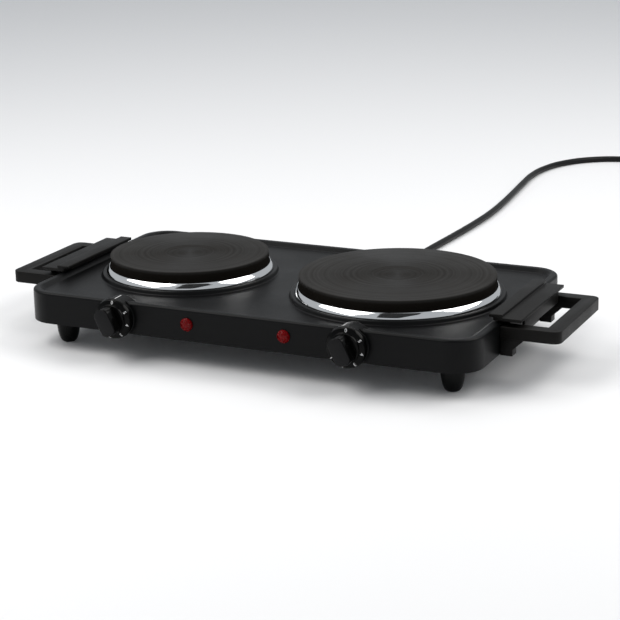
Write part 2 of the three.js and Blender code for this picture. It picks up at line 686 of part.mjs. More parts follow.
function handleSaddle() {
  const half = HANDLE_SPAN / 2;
  const lowUnder = SADDLE_LOW - SADDLE_THICK;
  const rest = RIM_TOP + WALL_CLEAR;
  const step = END - SADDLE_IN + SADDLE_RISE;
  const tiers = [
    [END - SADDLE_IN, SADDLE_HIGH],
    [END - SADDLE_IN, SADDLE_HIGH - SADDLE_THICK],
    [step, SADDLE_HIGH - SADDLE_THICK],
    [step, lowUnder],
    [END + SADDLE_OUT, lowUnder],
    [END + SADDLE_OUT, SADDLE_LOW],
    [END + SADDLE_STEP, SADDLE_LOW],
    [END + SADDLE_STEP, SADDLE_HIGH],
  ];
  const near = END + WALL_CLEAR;
  const lip = END + SADDLE_OUT - WEB.lipEdge;
  const inTiers = lowUnder + SADDLE_THICK / 6;
  const web = [
    [step, inTiers],
    [step, rest],
    [near, rest],
    [near, HANDLE_LOW],
    [near + WEB.thick, HANDLE_LOW],
    [near + WEB.thick, lowUnder - WEB.drop],
    [lip - WEB.lip, lowUnder - WEB.drop],
    [lip - WEB.lip, HANDLE_TOP - WEB.lipLow],
    [lip, HANDLE_TOP - WEB.lipLow],
    [lip, inTiers],
  ];
  const inside = half - HANDLE_ARM - GAP;
  return join(
    drawnAlongY(tiers, PAN_Y - half, PAN_Y + half),
    drawnAlongY(web, PAN_Y - inside, PAN_Y + inside),
  );
}

for (const [name, side] of [["left", -1], ["right", 1]]) {
  const facing = (shape) => (side < 0 ? shape.mirror([1, 0, 0]) : shape);
  add(`${name}_handle_loop`, facing(handleLoop()), plastic);
  add(`${name}_handle_saddle`, facing(handleSaddle()), plastic);
  for (const place of handleScrewPlaces().filter((each) => each.side === side)) {
    const body = screw(SCREW_RADIUS, HANDLE_SCREW).rotate([0, -90, 0]);
    const laid = body.translate([END - SHEET - GAP, place.y, HANDLE_SCREW_Z]);
    add(`${name}_handle_${place.name}_screw`, facing(laid), steel);
  }
}

// ---- mains lead ----
// The strain relief: a flange inside, a neck through the wall, a collar outside and a taper.
function cordGland() {
  const tip = CORD_RADIUS + TIP_WALL;
  const inside = REAR - SHEET - GAP;
  const outside = REAR + GAP;
  const profile = [
    [0, REAR - GLAND_INSIDE],
    [GLAND_FLANGE, REAR - GLAND_INSIDE],
    [GLAND_FLANGE, inside],
    [GLAND_NECK, inside],
    [GLAND_NECK, outside],
    [GLAND_FLANGE, outside],
    [GLAND_FLANGE, REAR + GLAND_COLLAR],
    [GLAND_FLANGE * 0.8, REAR + GLAND_COLLAR + 1],
    [tip, GLAND_EXIT],
    [0, GLAND_EXIT],
  ];
  return alongY(turned(profile), GLAND_X, GLAND_Z);
}

// From the strain relief down to the table, counted from the relief's end.
const LEAD_DROP = [
  [0, 0.3, 0],
  [0, 14, -1],
  [0.3, 28, -5.6],
  [0.8, 42, -13.6],
  [1.4, 57, -24],
  [2.2, 75, -33],
  [3.2, 98, -36.6],
].map(([x, y, z]) => [GLAND_X + x, GLAND_EXIT + y, GLAND_Z + z]);

// Back across the table, then round to the coil.
const LEAD_RUN = [
  [4.4, 302.5],
  [6.2, 351.5],
  [9.3, 408.5],
  [11.6, 467.5],
  [11.6, 524.5],
  [7.8, 582.5],
  [1.6, 641.5],
  [-4.6, 696.5],
  [-8.6, 741.5],
  [-6, 786.5],
  [8, 828.5],
  [36, 861.5],
  [74, 878.5],
  [COIL_CENTRE.x - COIL_MOUTH, COIL_CENTRE.y + COIL_RADIUS],
].map(([x, y]) => [x, y, CORD_RADIUS]);

// From the far side of the coil's upper turn to the plug.
const TAIL_ROUTE = [
  [TAIL.x, TAIL.y, TAIL.z],
  [TAIL.x, TAIL.y - 11, TAIL.z - 0.1],
  [TAIL.x, TAIL.y - 22, PLUG.entry + 0.2],
  [TAIL.x, PLUG_ENTRY + GAP, PLUG.entry],
];

function cordTube(route, steps) {
  const curve = new THREE.CatmullRomCurve3(route.map((point) => new THREE.Vector3(...point)));
  const section = new THREE.Shape();
  section.absarc(0, 0, CORD_RADIUS, 0, 2 * Math.PI);
  const settings = { steps, curveSegments: CORD_SIDES / 2, extrudePath: curve };
  return solid(new THREE.ExtrudeGeometry(section, settings));
}

function cordCoil() {
  const high = 2 * CORD_RADIUS * COIL_LAYERS;
  const ring = annulus(COIL_RADIUS - COIL_WALL, COIL_RADIUS + COIL_WALL, 0, high, ROUND / 2);
  return ring.translate([COIL_CENTRE.x, COIL_CENTRE.y, 0]);
}

// The plug lies on its back with its pins up and the lead entering its rear edge.
function plugBody() {
  const { wide, long, corner, ease } = PLUG;
  const outline = roundedRect(wide, long, corner);
  const geometry = new THREE.ExtrudeGeometry(outline, {
    depth: PLUG.high - 2 * ease,
    curveSegments: 3,
    bevelThickness: ease,
    bevelSize: ease,
    bevelOffset: -ease,
    bevelSegments: 2,
  });
  const block = solid(geometry).translate([TAIL.x, PLUG_REAR - long / 2, ease]);
  const sleeve = turned([
    [0, PLUG_REAR - ease],
    [PLUG_FLARE, PLUG_REAR - ease],
    [CORD_RADIUS + TIP_WALL, PLUG_ENTRY],
    [0, PLUG_ENTRY],
  ]);
  const pockets = plugPins().map((pin) =>
    pinBlock(pin, 2 * GAP, PLUG.high - PIN_ROOT, PLUG.high + CUT),
  );
  return cut(join(block, alongY(sleeve, TAIL.x, PLUG.entry)), ...pockets);
}

function plugPins() {
  const line = PLUG_REAR - PLUG.long / 2 + PIN_SPREAD / 2 - 1;
  return [
    { name: "earth", x: TAIL.x, y: line - PIN_SPREAD, long: 4, wide: 8, high: 22.7 },
    { name: "live", x: TAIL.x + PIN_SPREAD / 2, y: line, long: 6.4, wide: 4, high: 17.7 },
    { name: "neutral", x: TAIL.x - PIN_SPREAD / 2, y: line, long: 6.4, wide: 4, high: 17.7 },
  ];
}

function pinBlock({ x, y, long, wide }, larger, low, high) {
  const halfLong = (long + larger) / 2;
  const halfWide = (wide + larger) / 2;
  return box(x - halfLong, x + halfLong, y - halfWide, y + halfWide, low, high);
}

function terminalBlock() {
  const x = GLAND_X + TERMINAL.x;
  const y = REAR - TERMINAL.fromRear;
  const [half, deep] = [TERMINAL.long / 2, TERMINAL.wide / 2];
  const low = BASE_TOP + GAP;
  return box(x - half, x + half, y - deep, y + deep, low, low + TERMINAL.high);
}

add("top_pan", topPan(), paint);
add("base_plate", basePlate(), paint);
add("cord_gland", cordGland(), vinyl);
add("mains_cord", cordTube([...LEAD_DROP, ...LEAD_RUN], 46), vinyl);
add("cord_coil", cordCoil(), vinyl);
add("cord_tail", cordTube(TAIL_ROUTE, 4), vinyl);
add("plug_body", plugBody(), vinyl);
for (const pin of plugPins()) {
  const root = PLUG.high - PIN_ROOT + GAP;
  add(`plug_${pin.name}_pin`, pinBlock(pin, 0, root, PLUG.high + pin.high), brass);
}
add("terminal_block", terminalBlock(), ceramic);

export default part;
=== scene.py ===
# %% [markdown]
# # A double electric hob
# The hob is a pressed steel pan on four feet, with two cast-iron plates in bright rings, a knob and
# a lamp for each plate, a handle at each end and a mains lead behind. The CAD frame already says
# where every part is, so each step below measures the frame and models a finer piece in its place.

import math

import bmesh
import bpy
from mathutils import Matrix, Vector


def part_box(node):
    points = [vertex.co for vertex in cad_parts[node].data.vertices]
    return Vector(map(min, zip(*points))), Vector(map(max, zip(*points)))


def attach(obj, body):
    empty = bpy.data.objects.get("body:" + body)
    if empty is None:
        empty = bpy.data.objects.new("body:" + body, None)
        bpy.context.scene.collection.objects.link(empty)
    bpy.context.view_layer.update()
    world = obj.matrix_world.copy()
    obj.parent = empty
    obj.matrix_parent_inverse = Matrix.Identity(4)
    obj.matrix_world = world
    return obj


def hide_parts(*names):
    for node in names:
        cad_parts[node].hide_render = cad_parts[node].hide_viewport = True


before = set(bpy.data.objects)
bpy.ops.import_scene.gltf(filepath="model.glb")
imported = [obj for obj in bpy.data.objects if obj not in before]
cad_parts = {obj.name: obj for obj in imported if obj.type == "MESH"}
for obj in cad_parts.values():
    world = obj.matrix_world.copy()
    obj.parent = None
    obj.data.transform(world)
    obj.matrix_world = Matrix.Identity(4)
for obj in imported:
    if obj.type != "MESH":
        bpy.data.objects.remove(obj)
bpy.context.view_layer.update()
MM = 0.001

# %% [markdown]
# ## The camera
# A long lens stands in front of the hob, to its right and above it, and leans by about a degree.
# A camera could be aimed with a Track To constraint. Here its three axes are worked out instead,
# because then the lean is one more turn about the line of sight, and nothing needs a constraint.

# %% Camera
AZIMUTH = math.radians(25.31)
ELEVATION = math.radians(16.6)
LEAN = math.radians(-1.11)
DISTANCE = 1.8054
AIM = Vector((0.01715, 0.00473, 0.02871))

look = Vector((
    -math.sin(AZIMUTH) * math.cos(ELEVATION),
    math.cos(AZIMUTH) * math.cos(ELEVATION),
    -math.sin(ELEVATION),
))
level = Vector((math.cos(AZIMUTH), math.sin(AZIMUTH), 0))
upright = level.cross(look)
across = level * math.cos(LEAN) + upright * math.sin(LEAN)
over = upright * math.cos(LEAN) - level * math.sin(LEAN)

camera = bpy.data.objects.new("camera", bpy.data.cameras.new("camera"))
camera.data.lens = 109.9
camera.data.sensor_width = 36
turn = Matrix((across, over, -look)).transposed()
camera.matrix_world = Matrix.Translation(AIM - look * DISTANCE) @ turn.to_4x4()
bpy.context.scene.collection.objects.link(camera)
bpy.context.scene.camera = camera
print("camera at", [round(value, 3) for value in camera.matrix_world.translation])

# %% [markdown]
# ## Shaders
# Every finish here is one Principled shader. Its fixed numbers are set on the shader's own sockets,
# and what varies over the surface, such as grain or turning marks, comes from node groups. A group
# is built once and each material places it with its own values: a better grain improves them all.

# %% Material helpers
def new_material(name, **fixed):
    """A material whose Principled shader has these fixed values; returns it and the shader."""
    made = bpy.data.materials.new(name)
    made.use_nodes = True
    shader = made.node_tree.nodes["Principled BSDF"]
    for socket, value in fixed.items():
        shader.inputs[socket.replace("_", " ")].default_value = value
    return made, shader


def new_group(name, inputs, outputs):
    """An empty shader node group with these input values and output kinds."""
    group = bpy.data.node_groups.new(name, "ShaderNodeTree")
    for label, kind, value in inputs:
        made = group.interface.new_socket(label, in_out="INPUT", socket_type=kind)
        if value is not None:
            made.default_value = value
    for label, kind in outputs:
        group.interface.new_socket(label, in_out="OUTPUT", socket_type=kind)
    return group, group.nodes.new("NodeGroupInput"), group.nodes.new("NodeGroupOutput")


def math_node(tree, operation, first, second=None):
    """A Math node on two inputs, each a number or another node's output."""
    node = tree.nodes.new("ShaderNodeMath")
    node.operation = operation
    for socket, value in zip(node.inputs, (first, second)):
        if isinstance(value, bpy.types.NodeSocket):
            tree.links.new(value, socket)
        elif value is not None:
            socket.default_value = value
    return node.outputs[0]


def map_range(tree, value, start, stop):
    """A Map Range node that takes one pair of values to another."""
    node = tree.nodes.new("ShaderNodeMapRange")
    labels = ("From Min", "From Max", "To Min", "To Max")
    for label, number in zip(labels, (*start, *stop)):
        node.inputs[label].default_value = number
    tree.links.new(value, node.inputs["Value"])
    return node.outputs[0]


def placed(material, group, **values):
    """A group node in a material, fed with Object coordinates and these values."""
    tree = material.node_tree
    node = tree.nodes.new("ShaderNodeGroup")
    node.node_tree = group
    coordinates = tree.nodes.new("ShaderNodeTexCoord")
    tree.links.new(coordinates.outputs["Object"], node.inputs["Vector"])
    for label, value in values.items():
        node.inputs[label.replace("_", " ")].default_value = value
    return node


# %% [markdown]
# ### Grain and handling
# Paint, moulded plastic and cast iron all have a fine grain, and none of them is equally shiny all
# over. One group gives both: a fine height for the bump, a slow patchiness for the roughness and
# colour. Two noises at different scales do this at any size of piece, where an image would tile.

# %% Surface group
surface_group, given, out = new_group(
    "surface_grain",
    [
        ("Vector", "NodeSocketVector", None),
        ("Grain", "NodeSocketFloat", 2500.0),
        ("Patch", "NodeSocketFloat", 18.0),
        ("Dull", "NodeSocketFloat", 0.4),
        ("Shiny", "NodeSocketFloat", 0.3),
        ("Dark", "NodeSocketColor", (0.01, 0.01, 0.01, 1)),
        ("Light", "NodeSocketColor", (0.02, 0.02, 0.02, 1)),
    ],
    [("Height", "NodeSocketFloat"), ("Roughness", "NodeSocketFloat"), ("Color", "NodeSocketColor")],
)
grain = surface_group.nodes.new("ShaderNodeTexNoise")
grain.inputs["Detail"].default_value = 2
patch = surface_group.nodes.new("ShaderNodeTexNoise")
patch.inputs["Detail"].default_value = 5
spread = surface_group.nodes.new("ShaderNodeMapRange")
spread.inputs["From Min"].default_value = 0.3
spread.inputs["From Max"].default_value = 0.7
tone = surface_group.nodes.new("ShaderNodeMix")
tone.data_type = "RGBA"
link = surface_group.links.new
for noise, scale in ((grain, "Grain"), (patch, "Patch")):
    link(given.outputs["Vector"], noise.inputs["Vector"])
    link(given.outputs[scale], noise.inputs["Scale"])
link(patch.outputs[0], spread.inputs["Value"])
link(given.outputs["Shiny"], spread.inputs["To Min"])
link(given.outputs["Dull"], spread.inputs["To Max"])
link(patch.outputs[0], tone.inputs["Factor"])
link(given.outputs["Dark"], tone.inputs["A"])
link(given.outputs["Light"], tone.inputs["B"])
link(grain.outputs[0], out.inputs["Height"])
link(spread.outputs[0], out.inputs["Roughness"])
link(tone.outputs["Result"], out.inputs["Color"])


def grainy(
    name, dark, light, shiny, dull, grain_scale=2500.0, depth=0.05, patch_scale=18.0, **fixed
):
    """A material with the surface group on its colour, roughness and bump."""
    material, shader = new_material(name, **fixed)
    node = placed(
        material, surface_group, Grain=grain_scale, Patch=patch_scale, Dull=dull, Shiny=shiny,
        Dark=(*dark, 1), Light=(*light, 1),
    )
    tree = material.node_tree
    bump = tree.nodes.new("ShaderNodeBump")
    bump.inputs["Strength"].default_value = 1
    bump.inputs["Distance"].default_value = depth * MM
    tree.links.new(node.outputs["Height"], bump.inputs["Height"])
    tree.links.new(node.outputs["Color"], shader.inputs["Base Color"])
    tree.links.new(node.outputs["Roughness"], shader.inputs["Roughness"])
    tree.links.new(bump.outputs["Normal"], shader.inputs["Normal"])
    return material


# %% Painted, moulded and metal finishes
pan_paint = grainy(
    "pan_paint", (0.0016, 0.0017, 0.0019), (0.0026, 0.0027, 0.003), 0.32, 0.4,
    Specular_IOR_Level=0.11,
)
base_paint = grainy("base_paint", (0.010, 0.010, 0.011), (0.016, 0.016, 0.017), 0.5, 0.62)
knob_gloss = grainy(
    "knob_gloss", (0.0012, 0.0012, 0.0012), (0.002, 0.002, 0.002), 0.12, 0.18, 700.0, 0.01,
    Specular_IOR_Level=0.08,
)
grip_satin = grainy(
    "grip_satin", (0.004, 0.004, 0.0045), (0.006, 0.006, 0.0065), 0.42, 0.5, 3000.0, 0.03,
    Specular_IOR_Level=0.14,
)
handle_plastic = grainy(
    "handle_plastic", (0.003, 0.0027, 0.0024), (0.005, 0.0046, 0.0042), 0.42, 0.55, 2200.0, 0.08,
    Specular_IOR_Level=0.13,
)
foot_plastic = grainy(
    "foot_plastic", (0.0015, 0.0017, 0.0017), (0.0025, 0.0028, 0.0027), 0.24, 0.34,
    Specular_IOR_Level=0.1,
)
cord_vinyl = grainy(
    "cord_vinyl", (0.002, 0.002, 0.002), (0.0035, 0.0035, 0.0035), 0.36, 0.48,
    Specular_IOR_Level=0.2,
)
plug_plastic = grainy("plug_plastic", (0.01, 0.01, 0.01), (0.015, 0.015, 0.015), 0.38, 0.5)
plain_steel = grainy(
    "plain_steel", (0.42, 0.43, 0.44), (0.6, 0.61, 0.62), 0.28, 0.45, 1200.0, 0.03, Metallic=1.0,
)
brass = grainy(
    "brass", (0.55, 0.4, 0.16), (0.72, 0.54, 0.24), 0.2, 0.34, 900.0, 0.02, Metallic=1.0,
)
ceramic = grainy("ceramic", (0.62, 0.59, 0.52), (0.74, 0.71, 0.64), 0.55, 0.75, 1500.0, 0.06)
white_print = grainy("white_print", (0.7, 0.7, 0.7), (0.8, 0.8, 0.8), 0.4, 0.5)
print("materials:", len(bpy.data.materials))

# %% [markdown]
# ### Turning marks and painted light
# The iron plates are faced on a lathe, which leaves rings round their middle. A Wave texture can
# draw rings, but all equally strong. Here the distance from the middle drives a noise of one
# dimension, so some rings are deeper and some wider, as a real tool leaves them. The same group
# also paints light into the gleam: painted shade in the middle and dish, painted highlight towards
# the edge, and painted shade down the plate's side.

# %% Turned group
NOISE_RANGE = (0.3, 0.7)  # where most of a noise's values lie
RING_GLEAM = (0.09, 0.16)  # specular level of a dull ring and of a bright one
# Painted light: the gleam is held low in the middle and dish as painted shade, and grows towards the
# edge as painted highlight.
PAINTED_LIGHT_REACH = (12 * MM, 80 * MM)  # distances from the middle between which the gleam grows
PAINTED_LIGHT_GAIN = (0.8, 1.7)
# Painted shade: the gleam fades down the plate's side.
SIDE_SHADE_DEPTH = (1.4 * MM, 3.5 * MM)  # depths under the face between which the gleam fades
SIDE_SHADE_GLEAM = (1, 0.15)
RING_HEIGHT = 0.7
marks_and_painted_light_group, turned_in, turned_out = new_group(
    "turning_marks_and_painted_light",
    [
        ("Vector", "NodeSocketVector", None),
        ("Fine", "NodeSocketFloat", 900.0),
        ("Broad", "NodeSocketFloat", 330.0),
        ("Top", "NodeSocketFloat", 0.072),
    ],
    [("Height", "NodeSocketFloat"), ("Gleam", "NodeSocketFloat")],
)
level_vector = marks_and_painted_light_group.nodes.new("ShaderNodeVectorMath")
level_vector.operation = "MULTIPLY"
level_vector.inputs[1].default_value = (1, 1, 0)
reach = marks_and_painted_light_group.nodes.new("ShaderNodeVectorMath")
reach.operation = "LENGTH"
link = marks_and_painted_light_group.links.new
link(turned_in.outputs["Vector"], level_vector.inputs[0])
link(level_vector.outputs["Vector"], reach.inputs[0])
rings = []
for label in ("Fine", "Broad"):
    noise = marks_and_painted_light_group.nodes.new("ShaderNodeTexNoise")
    noise.noise_dimensions = "1D"
    noise.inputs["Detail"].default_value = 2
    link(reach.outputs["Value"], noise.inputs["W"])
    link(turned_in.outputs[label], noise.inputs["Scale"])
    rings.append(noise.outputs[0])
link(math_node(marks_and_painted_light_group, "MULTIPLY", rings[0], RING_HEIGHT), turned_out.inputs["Height"])
gleam = map_range(marks_and_painted_light_group, rings[1], NOISE_RANGE, RING_GLEAM)
# Painted shade in the middle and dish, painted highlight towards the edge: the gleam grows with
# distance from the middle.
painted_light_gain = map_range(marks_and_painted_light_group, reach.outputs["Value"], PAINTED_LIGHT_REACH, PAINTED_LIGHT_GAIN)
# Painted shade down the side of the casting: below the face, its gleam fades to much less than on the
# turned face.
position = marks_and_painted_light_group.nodes.new("ShaderNodeSeparateXYZ")
link(turned_in.outputs["Vector"], position.inputs[0])
below = math_node(marks_and_painted_light_group, "SUBTRACT", turned_in.outputs["Top"], position.outputs["Z"])
painted_side_shade = map_range(marks_and_painted_light_group, below, SIDE_SHADE_DEPTH, SIDE_SHADE_GLEAM)
face_gleam = math_node(marks_and_painted_light_group, "MULTIPLY", gleam, painted_light_gain)
link(math_node(marks_and_painted_light_group, "MULTIPLY", face_gleam, painted_side_shade), turned_out.inputs["Gleam"])


def plate_iron(name, middle):
    """Blackened iron casting with turning marks round a plate's middle, and painted light in its
    gleam.
    """
    material, shader = new_material(name, Metallic=0.05, Anisotropic=0.6)
    tree = material.node_tree
    coordinates = tree.nodes.new("ShaderNodeTexCoord")
    centred = tree.nodes.new("ShaderNodeMapping")
    centred.inputs["Location"].default_value = (-middle.x, -middle.y, 0)
    marks = tree.nodes.new("ShaderNodeGroup")
    marks.node_tree = marks_and_painted_light_group
    marks.inputs["Top"].default_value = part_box("large_hot_plate")[1].z
    tree.links.new(coordinates.outputs["Object"], centred.inputs["Vector"])
    tree.links.new(centred.outputs["Vector"], marks.inputs["Vector"])
    around = tree.nodes.new("ShaderNodeVectorMath")
    around.operation = "CROSS_PRODUCT"
    around.inputs[1].default_value = (0, 0, 1)
    tree.links.new(centred.outputs["Vector"], around.inputs[0])
    tree.links.new(around.outputs["Vector"], shader.inputs["Tangent"])
    grain_node = placed(
        material, surface_group, Grain=1400.0, Patch=25.0, Dull=0.6, Shiny=0.5,
        Dark=(0.0055, 0.0046, 0.0036, 1), Light=(0.009, 0.0076, 0.006, 1),
    )
    bump = tree.nodes.new("ShaderNodeBump")
    bump.inputs["Distance"].default_value = 0.06 * MM
    relief_height = math_node(
        tree, "ADD", marks.outputs["Height"], grain_node.outputs["Height"],
    )
    tree.links.new(relief_height, bump.inputs["Height"])
    tree.links.new(grain_node.outputs["Color"], shader.inputs["Base Color"])
    # The gleam carries painted shade in the middle, in the dish and down the side, and painted
    # highlight towards the edge.
    tree.links.new(marks.outputs["Gleam"], shader.inputs["Specular IOR Level"])
    tree.links.new(grain_node.outputs["Roughness"], shader.inputs["Roughness"])
    tree.links.new(bump.outputs["Normal"], shader.inputs["Normal"])
    return material


# %% Chrome, lens and glass
ring_chrome = grainy(
    "ring_chrome", (0.72, 0.73, 0.74), (0.8, 0.81, 0.82), 0.04, 0.09, 300.0, 0.003, Metallic=1.0,
)
lens_red = grainy(
    "lens_red", (0.1, 0.0006, 0.001), (0.2, 0.0015, 0.003), 0.08, 0.16, 500.0, 0.02,
    Transmission_Weight=0.15, IOR=1.49, Specular_IOR_Level=0.07,
)
neon_glass = grainy(
    "neon_glass", (0.8, 0.6, 0.45), (0.9, 0.72, 0.55), 0.05, 0.12, 400.0, 0.01,
    Transmission_Weight=0.6, IOR=1.5,
)

# %% [markdown]
# ## Making pieces
# Every modelled piece ends the same way: doubles merged, normals turned outwards, smooth shading
# with its real edges kept sharp, and a ride on the body that carries it. One helper does this, and
# three more cover most shapes: spin a profile, extrude an outline, ease the sharp edges.

# %% Mesh helpers
def finished(bm, name, material, replaced=(), body="hob", sharp=40):
    """Makes a bmesh into a finished piece."""
    bmesh.ops.remove_doubles(bm, verts=bm.verts, dist=0.001 * MM)
    bmesh.ops.recalc_face_normals(bm, faces=bm.faces)
    mesh = bpy.data.meshes.new(name)
    bm.to_mesh(mesh)
    bm.free()
    mesh.shade_smooth()
    mesh.set_sharp_from_angle(angle=math.radians(sharp))
    mesh.materials.append(material)
    piece = bpy.data.objects.new(name, mesh)
    bpy.context.scene.collection.objects.link(piece)
    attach(piece, body)
    if replaced:
        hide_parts(*replaced)
    print(f"{name}: {len(mesh.polygons)} faces")
    return piece


def ease(bm, width, segments=2, over=35):
    """Rounds every edge that is sharper than an angle in degrees."""
    bmesh.ops.remove_doubles(bm, verts=bm.verts, dist=0.001 * MM)
    bmesh.ops.recalc_face_normals(bm, faces=bm.faces)
    limit = math.radians(over)
    sharp = [edge for edge in bm.edges if edge.is_manifold and edge.calc_face_angle() > limit]
    bmesh.ops.bevel(
        bm, geom=sharp, offset=width * MM, offset_type="OFFSET", segments=segments, profile=0.5,
        affect="EDGES", clamp_overlap=True, material=-1,
    )


def spun(profile, steps=96):
    """A profile of (radius, height) pairs in mm, turned once round Z."""
    bm = bmesh.new()
    points = [bm.verts.new((radius * MM, 0, height * MM)) for radius, height in profile]
    edges = [bm.edges.new(pair) for pair in zip(points, points[1:])]
    bmesh.ops.spin(
        bm, geom=points + edges, cent=(0, 0, 0), axis=(0, 0, 1), angle=2 * math.pi, steps=steps,
        use_merge=True,
    )
    bmesh.ops.remove_doubles(bm, verts=bm.verts, dist=0.001 * MM)
    bmesh.ops.recalc_face_normals(bm, faces=bm.faces)
    return bm


def slab(outline, low, high):
    """An outline of (x, y) pairs in mm, extruded from one height to another."""
    bm = bmesh.new()
    face = bm.faces.new([bm.verts.new((x * MM, y * MM, low * MM)) for x, y in outline])
    made = bmesh.ops.extrude_face_region(bm, geom=[face])
    top = [each for each in made["geom"] if isinstance(each, bmesh.types.BMVert)]
    bmesh.ops.translate(bm, verts=top, vec=(0, 0, (high - low) * MM))
    bmesh.ops.recalc_face_normals(bm, faces=bm.faces)
    return bm


def moved(bm, matrix):
    """Puts a bmesh in place."""
    bmesh.ops.transform(bm, matrix=matrix, verts=bm.verts)
    return bm


def facing_front(x, z):
    """Lays what was turned about Z over: its axis runs front to back and height becomes depth."""
    return Matrix.Translation((x, 0, z)) @ Matrix.Rotation(math.radians(-90), 4, "X")


def middle_of(node):
    """The middle of a CAD node's box, and half its size."""
    low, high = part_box(node)
    return (low + high) / 2, (high - low) / 2


# %% [markdown]
# ## The mains lead
# The lead is one length of black vinyl cable. It leaves a tapered relief in the rear wall, drops to
# the table in an easy curve, runs back with two slow bends, and its spare length is wound into a
# coil with a tie, beside its plug. A Bezier curve through chosen points gives this directly, with
# its thickness as the curve's own bevel. A simulated rope would settle somewhere else each time.

# %% Lead route
CORD_RADIUS = 3.75 * MM
gland_low, gland_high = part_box("cord_gland")
coil_middle, coil_half = middle_of("cord_coil")
exit_point = Vector((0, gland_high.y, 0.0405))
COIL_RADIUS = 41.25 * MM
COIL_STEPS = 20  # points to a turn
RAMP = (290, 360)  # degrees of winding over which the lead climbs onto its own turn
drop = [
    (0, 0.3, 0), (0, 14, -1), (0.3, 28, -5.6), (0.8, 42, -13.6), (1.4, 57, -24), (2.2, 75, -33),
    (3.2, 98, -36.6),
]
run = [
    (4.4, 302.5), (6.2, 351.5), (9.3, 408.5), (11.6, 467.5), (11.6, 524.5), (7.8, 582.5),
    (1.6, 641.5), (-4.6, 696.5), (-8.6, 741.5), (-6, 786.5), (8, 828.5), (36, 861.5), (74, 878.5),
]
tail = [(0, -11, -0.1), (0, -22, -0.55), (0, -31.7, -0.75)]

route = [exit_point + Vector(point) * MM for point in drop]
route += [Vector((x * MM, y * MM, CORD_RADIUS)) for x, y in run]
for step in range(int(1.25 * COIL_STEPS) + 1):
    wound = 360 * step / COIL_STEPS
    climb = min(max((wound - RAMP[0]) / (RAMP[1] - RAMP[0]), 0), 1)
    angle = math.radians(90 - wound)
    route.append(Vector((
        coil_middle.x + COIL_RADIUS * math.cos(angle),
        coil_middle.y + COIL_RADIUS * math.sin(angle),
        CORD_RADIUS * (1 + 2 * climb * climb * (3 - 2 * climb)),
    )))
tail_start = Vector((coil_middle.x + COIL_RADIUS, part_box("cord_tail")[1].y, 3 * CORD_RADIUS))
route += [tail_start + Vector(point) * MM for point in tail]

# %% Lead curve
curve = bpy.data.curves.new("mains_lead", "CURVE")
curve.dimensions = "3D"
curve.bevel_depth = CORD_RADIUS
curve.bevel_resolution = 5
curve.resolution_u = 8
curve.use_fill_caps = True
line = curve.splines.new("BEZIER")
line.bezier_points.add(len(route) - 1)
for knot, place in zip(line.bezier_points, route):
    knot.co = place
    knot.handle_left_type = "AUTO"
    knot.handle_right_type = "AUTO"
curve.materials.append(cord_vinyl)
lead = bpy.data.objects.new("mains_lead", curve)
bpy.context.scene.collection.objects.link(lead)
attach(lead, "hob")
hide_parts("mains_cord", "cord_coil", "cord_tail")

# %% Tie round the coil
TIE_TURN = math.radians(45)  # where the lead lies on its own first turn
TIE_WIDE, TIE_LONG, TIE_INSET = 9.6 * MM, 6 * MM, 0.2 * MM
tie = bmesh.new()
bmesh.ops.create_cube(tie, size=1)
bmesh.ops.scale(tie, vec=(TIE_WIDE, TIE_LONG, coil_half.z * 2 - TIE_INSET), verts=tie.verts)
ease(tie, 1.2, 3)
bmesh.ops.translate(tie, vec=(COIL_RADIUS, 0, 0), verts=tie.verts)
moved(tie, Matrix.Translation(coil_middle) @ Matrix.Rotation(TIE_TURN, 4, "Z"))
tie_piece = finished(tie, "coil_tie", plug_plastic)

# %% [markdown]
# ## Floor and lights
# The hob stands on a pale floor in a pale world with three soft lights. Black paint has little
# colour of its own and shows its shape by what it mirrors, so the lights are wide: small ones would
# leave hard points. A dark card overhead gives the bright rings something dark to mirror as well.

# %% Floor and lights
def stage_sheet(name, size, scale, place, finish):
    """A level sheet of one finish, for what stands round the object."""
    bm = bmesh.new()
    bmesh.ops.create_grid(bm, x_segments=1, y_segments=1, size=size)
    bmesh.ops.scale(bm, vec=scale, verts=bm.verts)
    bmesh.ops.translate(bm, vec=place, verts=bm.verts)
    mesh = bpy.data.meshes.new(name)
    bm.to_mesh(mesh)
    bm.free()
    mesh.materials.append(finish)
    sheet = bpy.data.objects.new(name, mesh)
    bpy.context.scene.collection.objects.link(sheet)
    return sheet


floor_pale = new_material("floor_pale", Base_Color=(0.82, 0.82, 0.83, 1), Roughness=0.5)[0]
floor = stage_sheet("floor", 9, (1, 1, 1), (0, 0, 0), floor_pale)

world = bpy.data.worlds.new("studio")
world.use_nodes = True
world.node_tree.nodes["Background"].inputs["Color"].default_value = (0.93, 0.965, 1, 1)
world.node_tree.nodes["Background"].inputs["Strength"].default_value = 0.54
bpy.context.scene.world = world
bpy.context.scene.view_settings.view_transform = "Standard"


def softbox(name, place, aim, size, power):
    """A rectangular area light at a place, facing a point."""
    light = bpy.data.lights.new(name, "AREA")
    light.shape = "RECTANGLE"
    light.size, light.size_y = size
    light.energy = power
    light.color = (1, 0.985, 0.96)
    lamp = bpy.data.objects.new(name, light)
    lamp.location = place
    lamp.rotation_euler = (Vector(aim) - Vector(place)).to_track_quat("-Z", "Y").to_euler()
    bpy.context.scene.collection.objects.link(lamp)


softbox("left", (-0.79, -0.57, 1.2), (0, 0, 0), (1.3, 1.0), 15)
softbox("right", (1.03, 0.49, 1.2), (0, 0, 0), (1.1, 1.0), 14)
softbox("back", (-0.5, 1.3, 2.3), (0, 0.1, 0), (2.4, 1.2), 15)

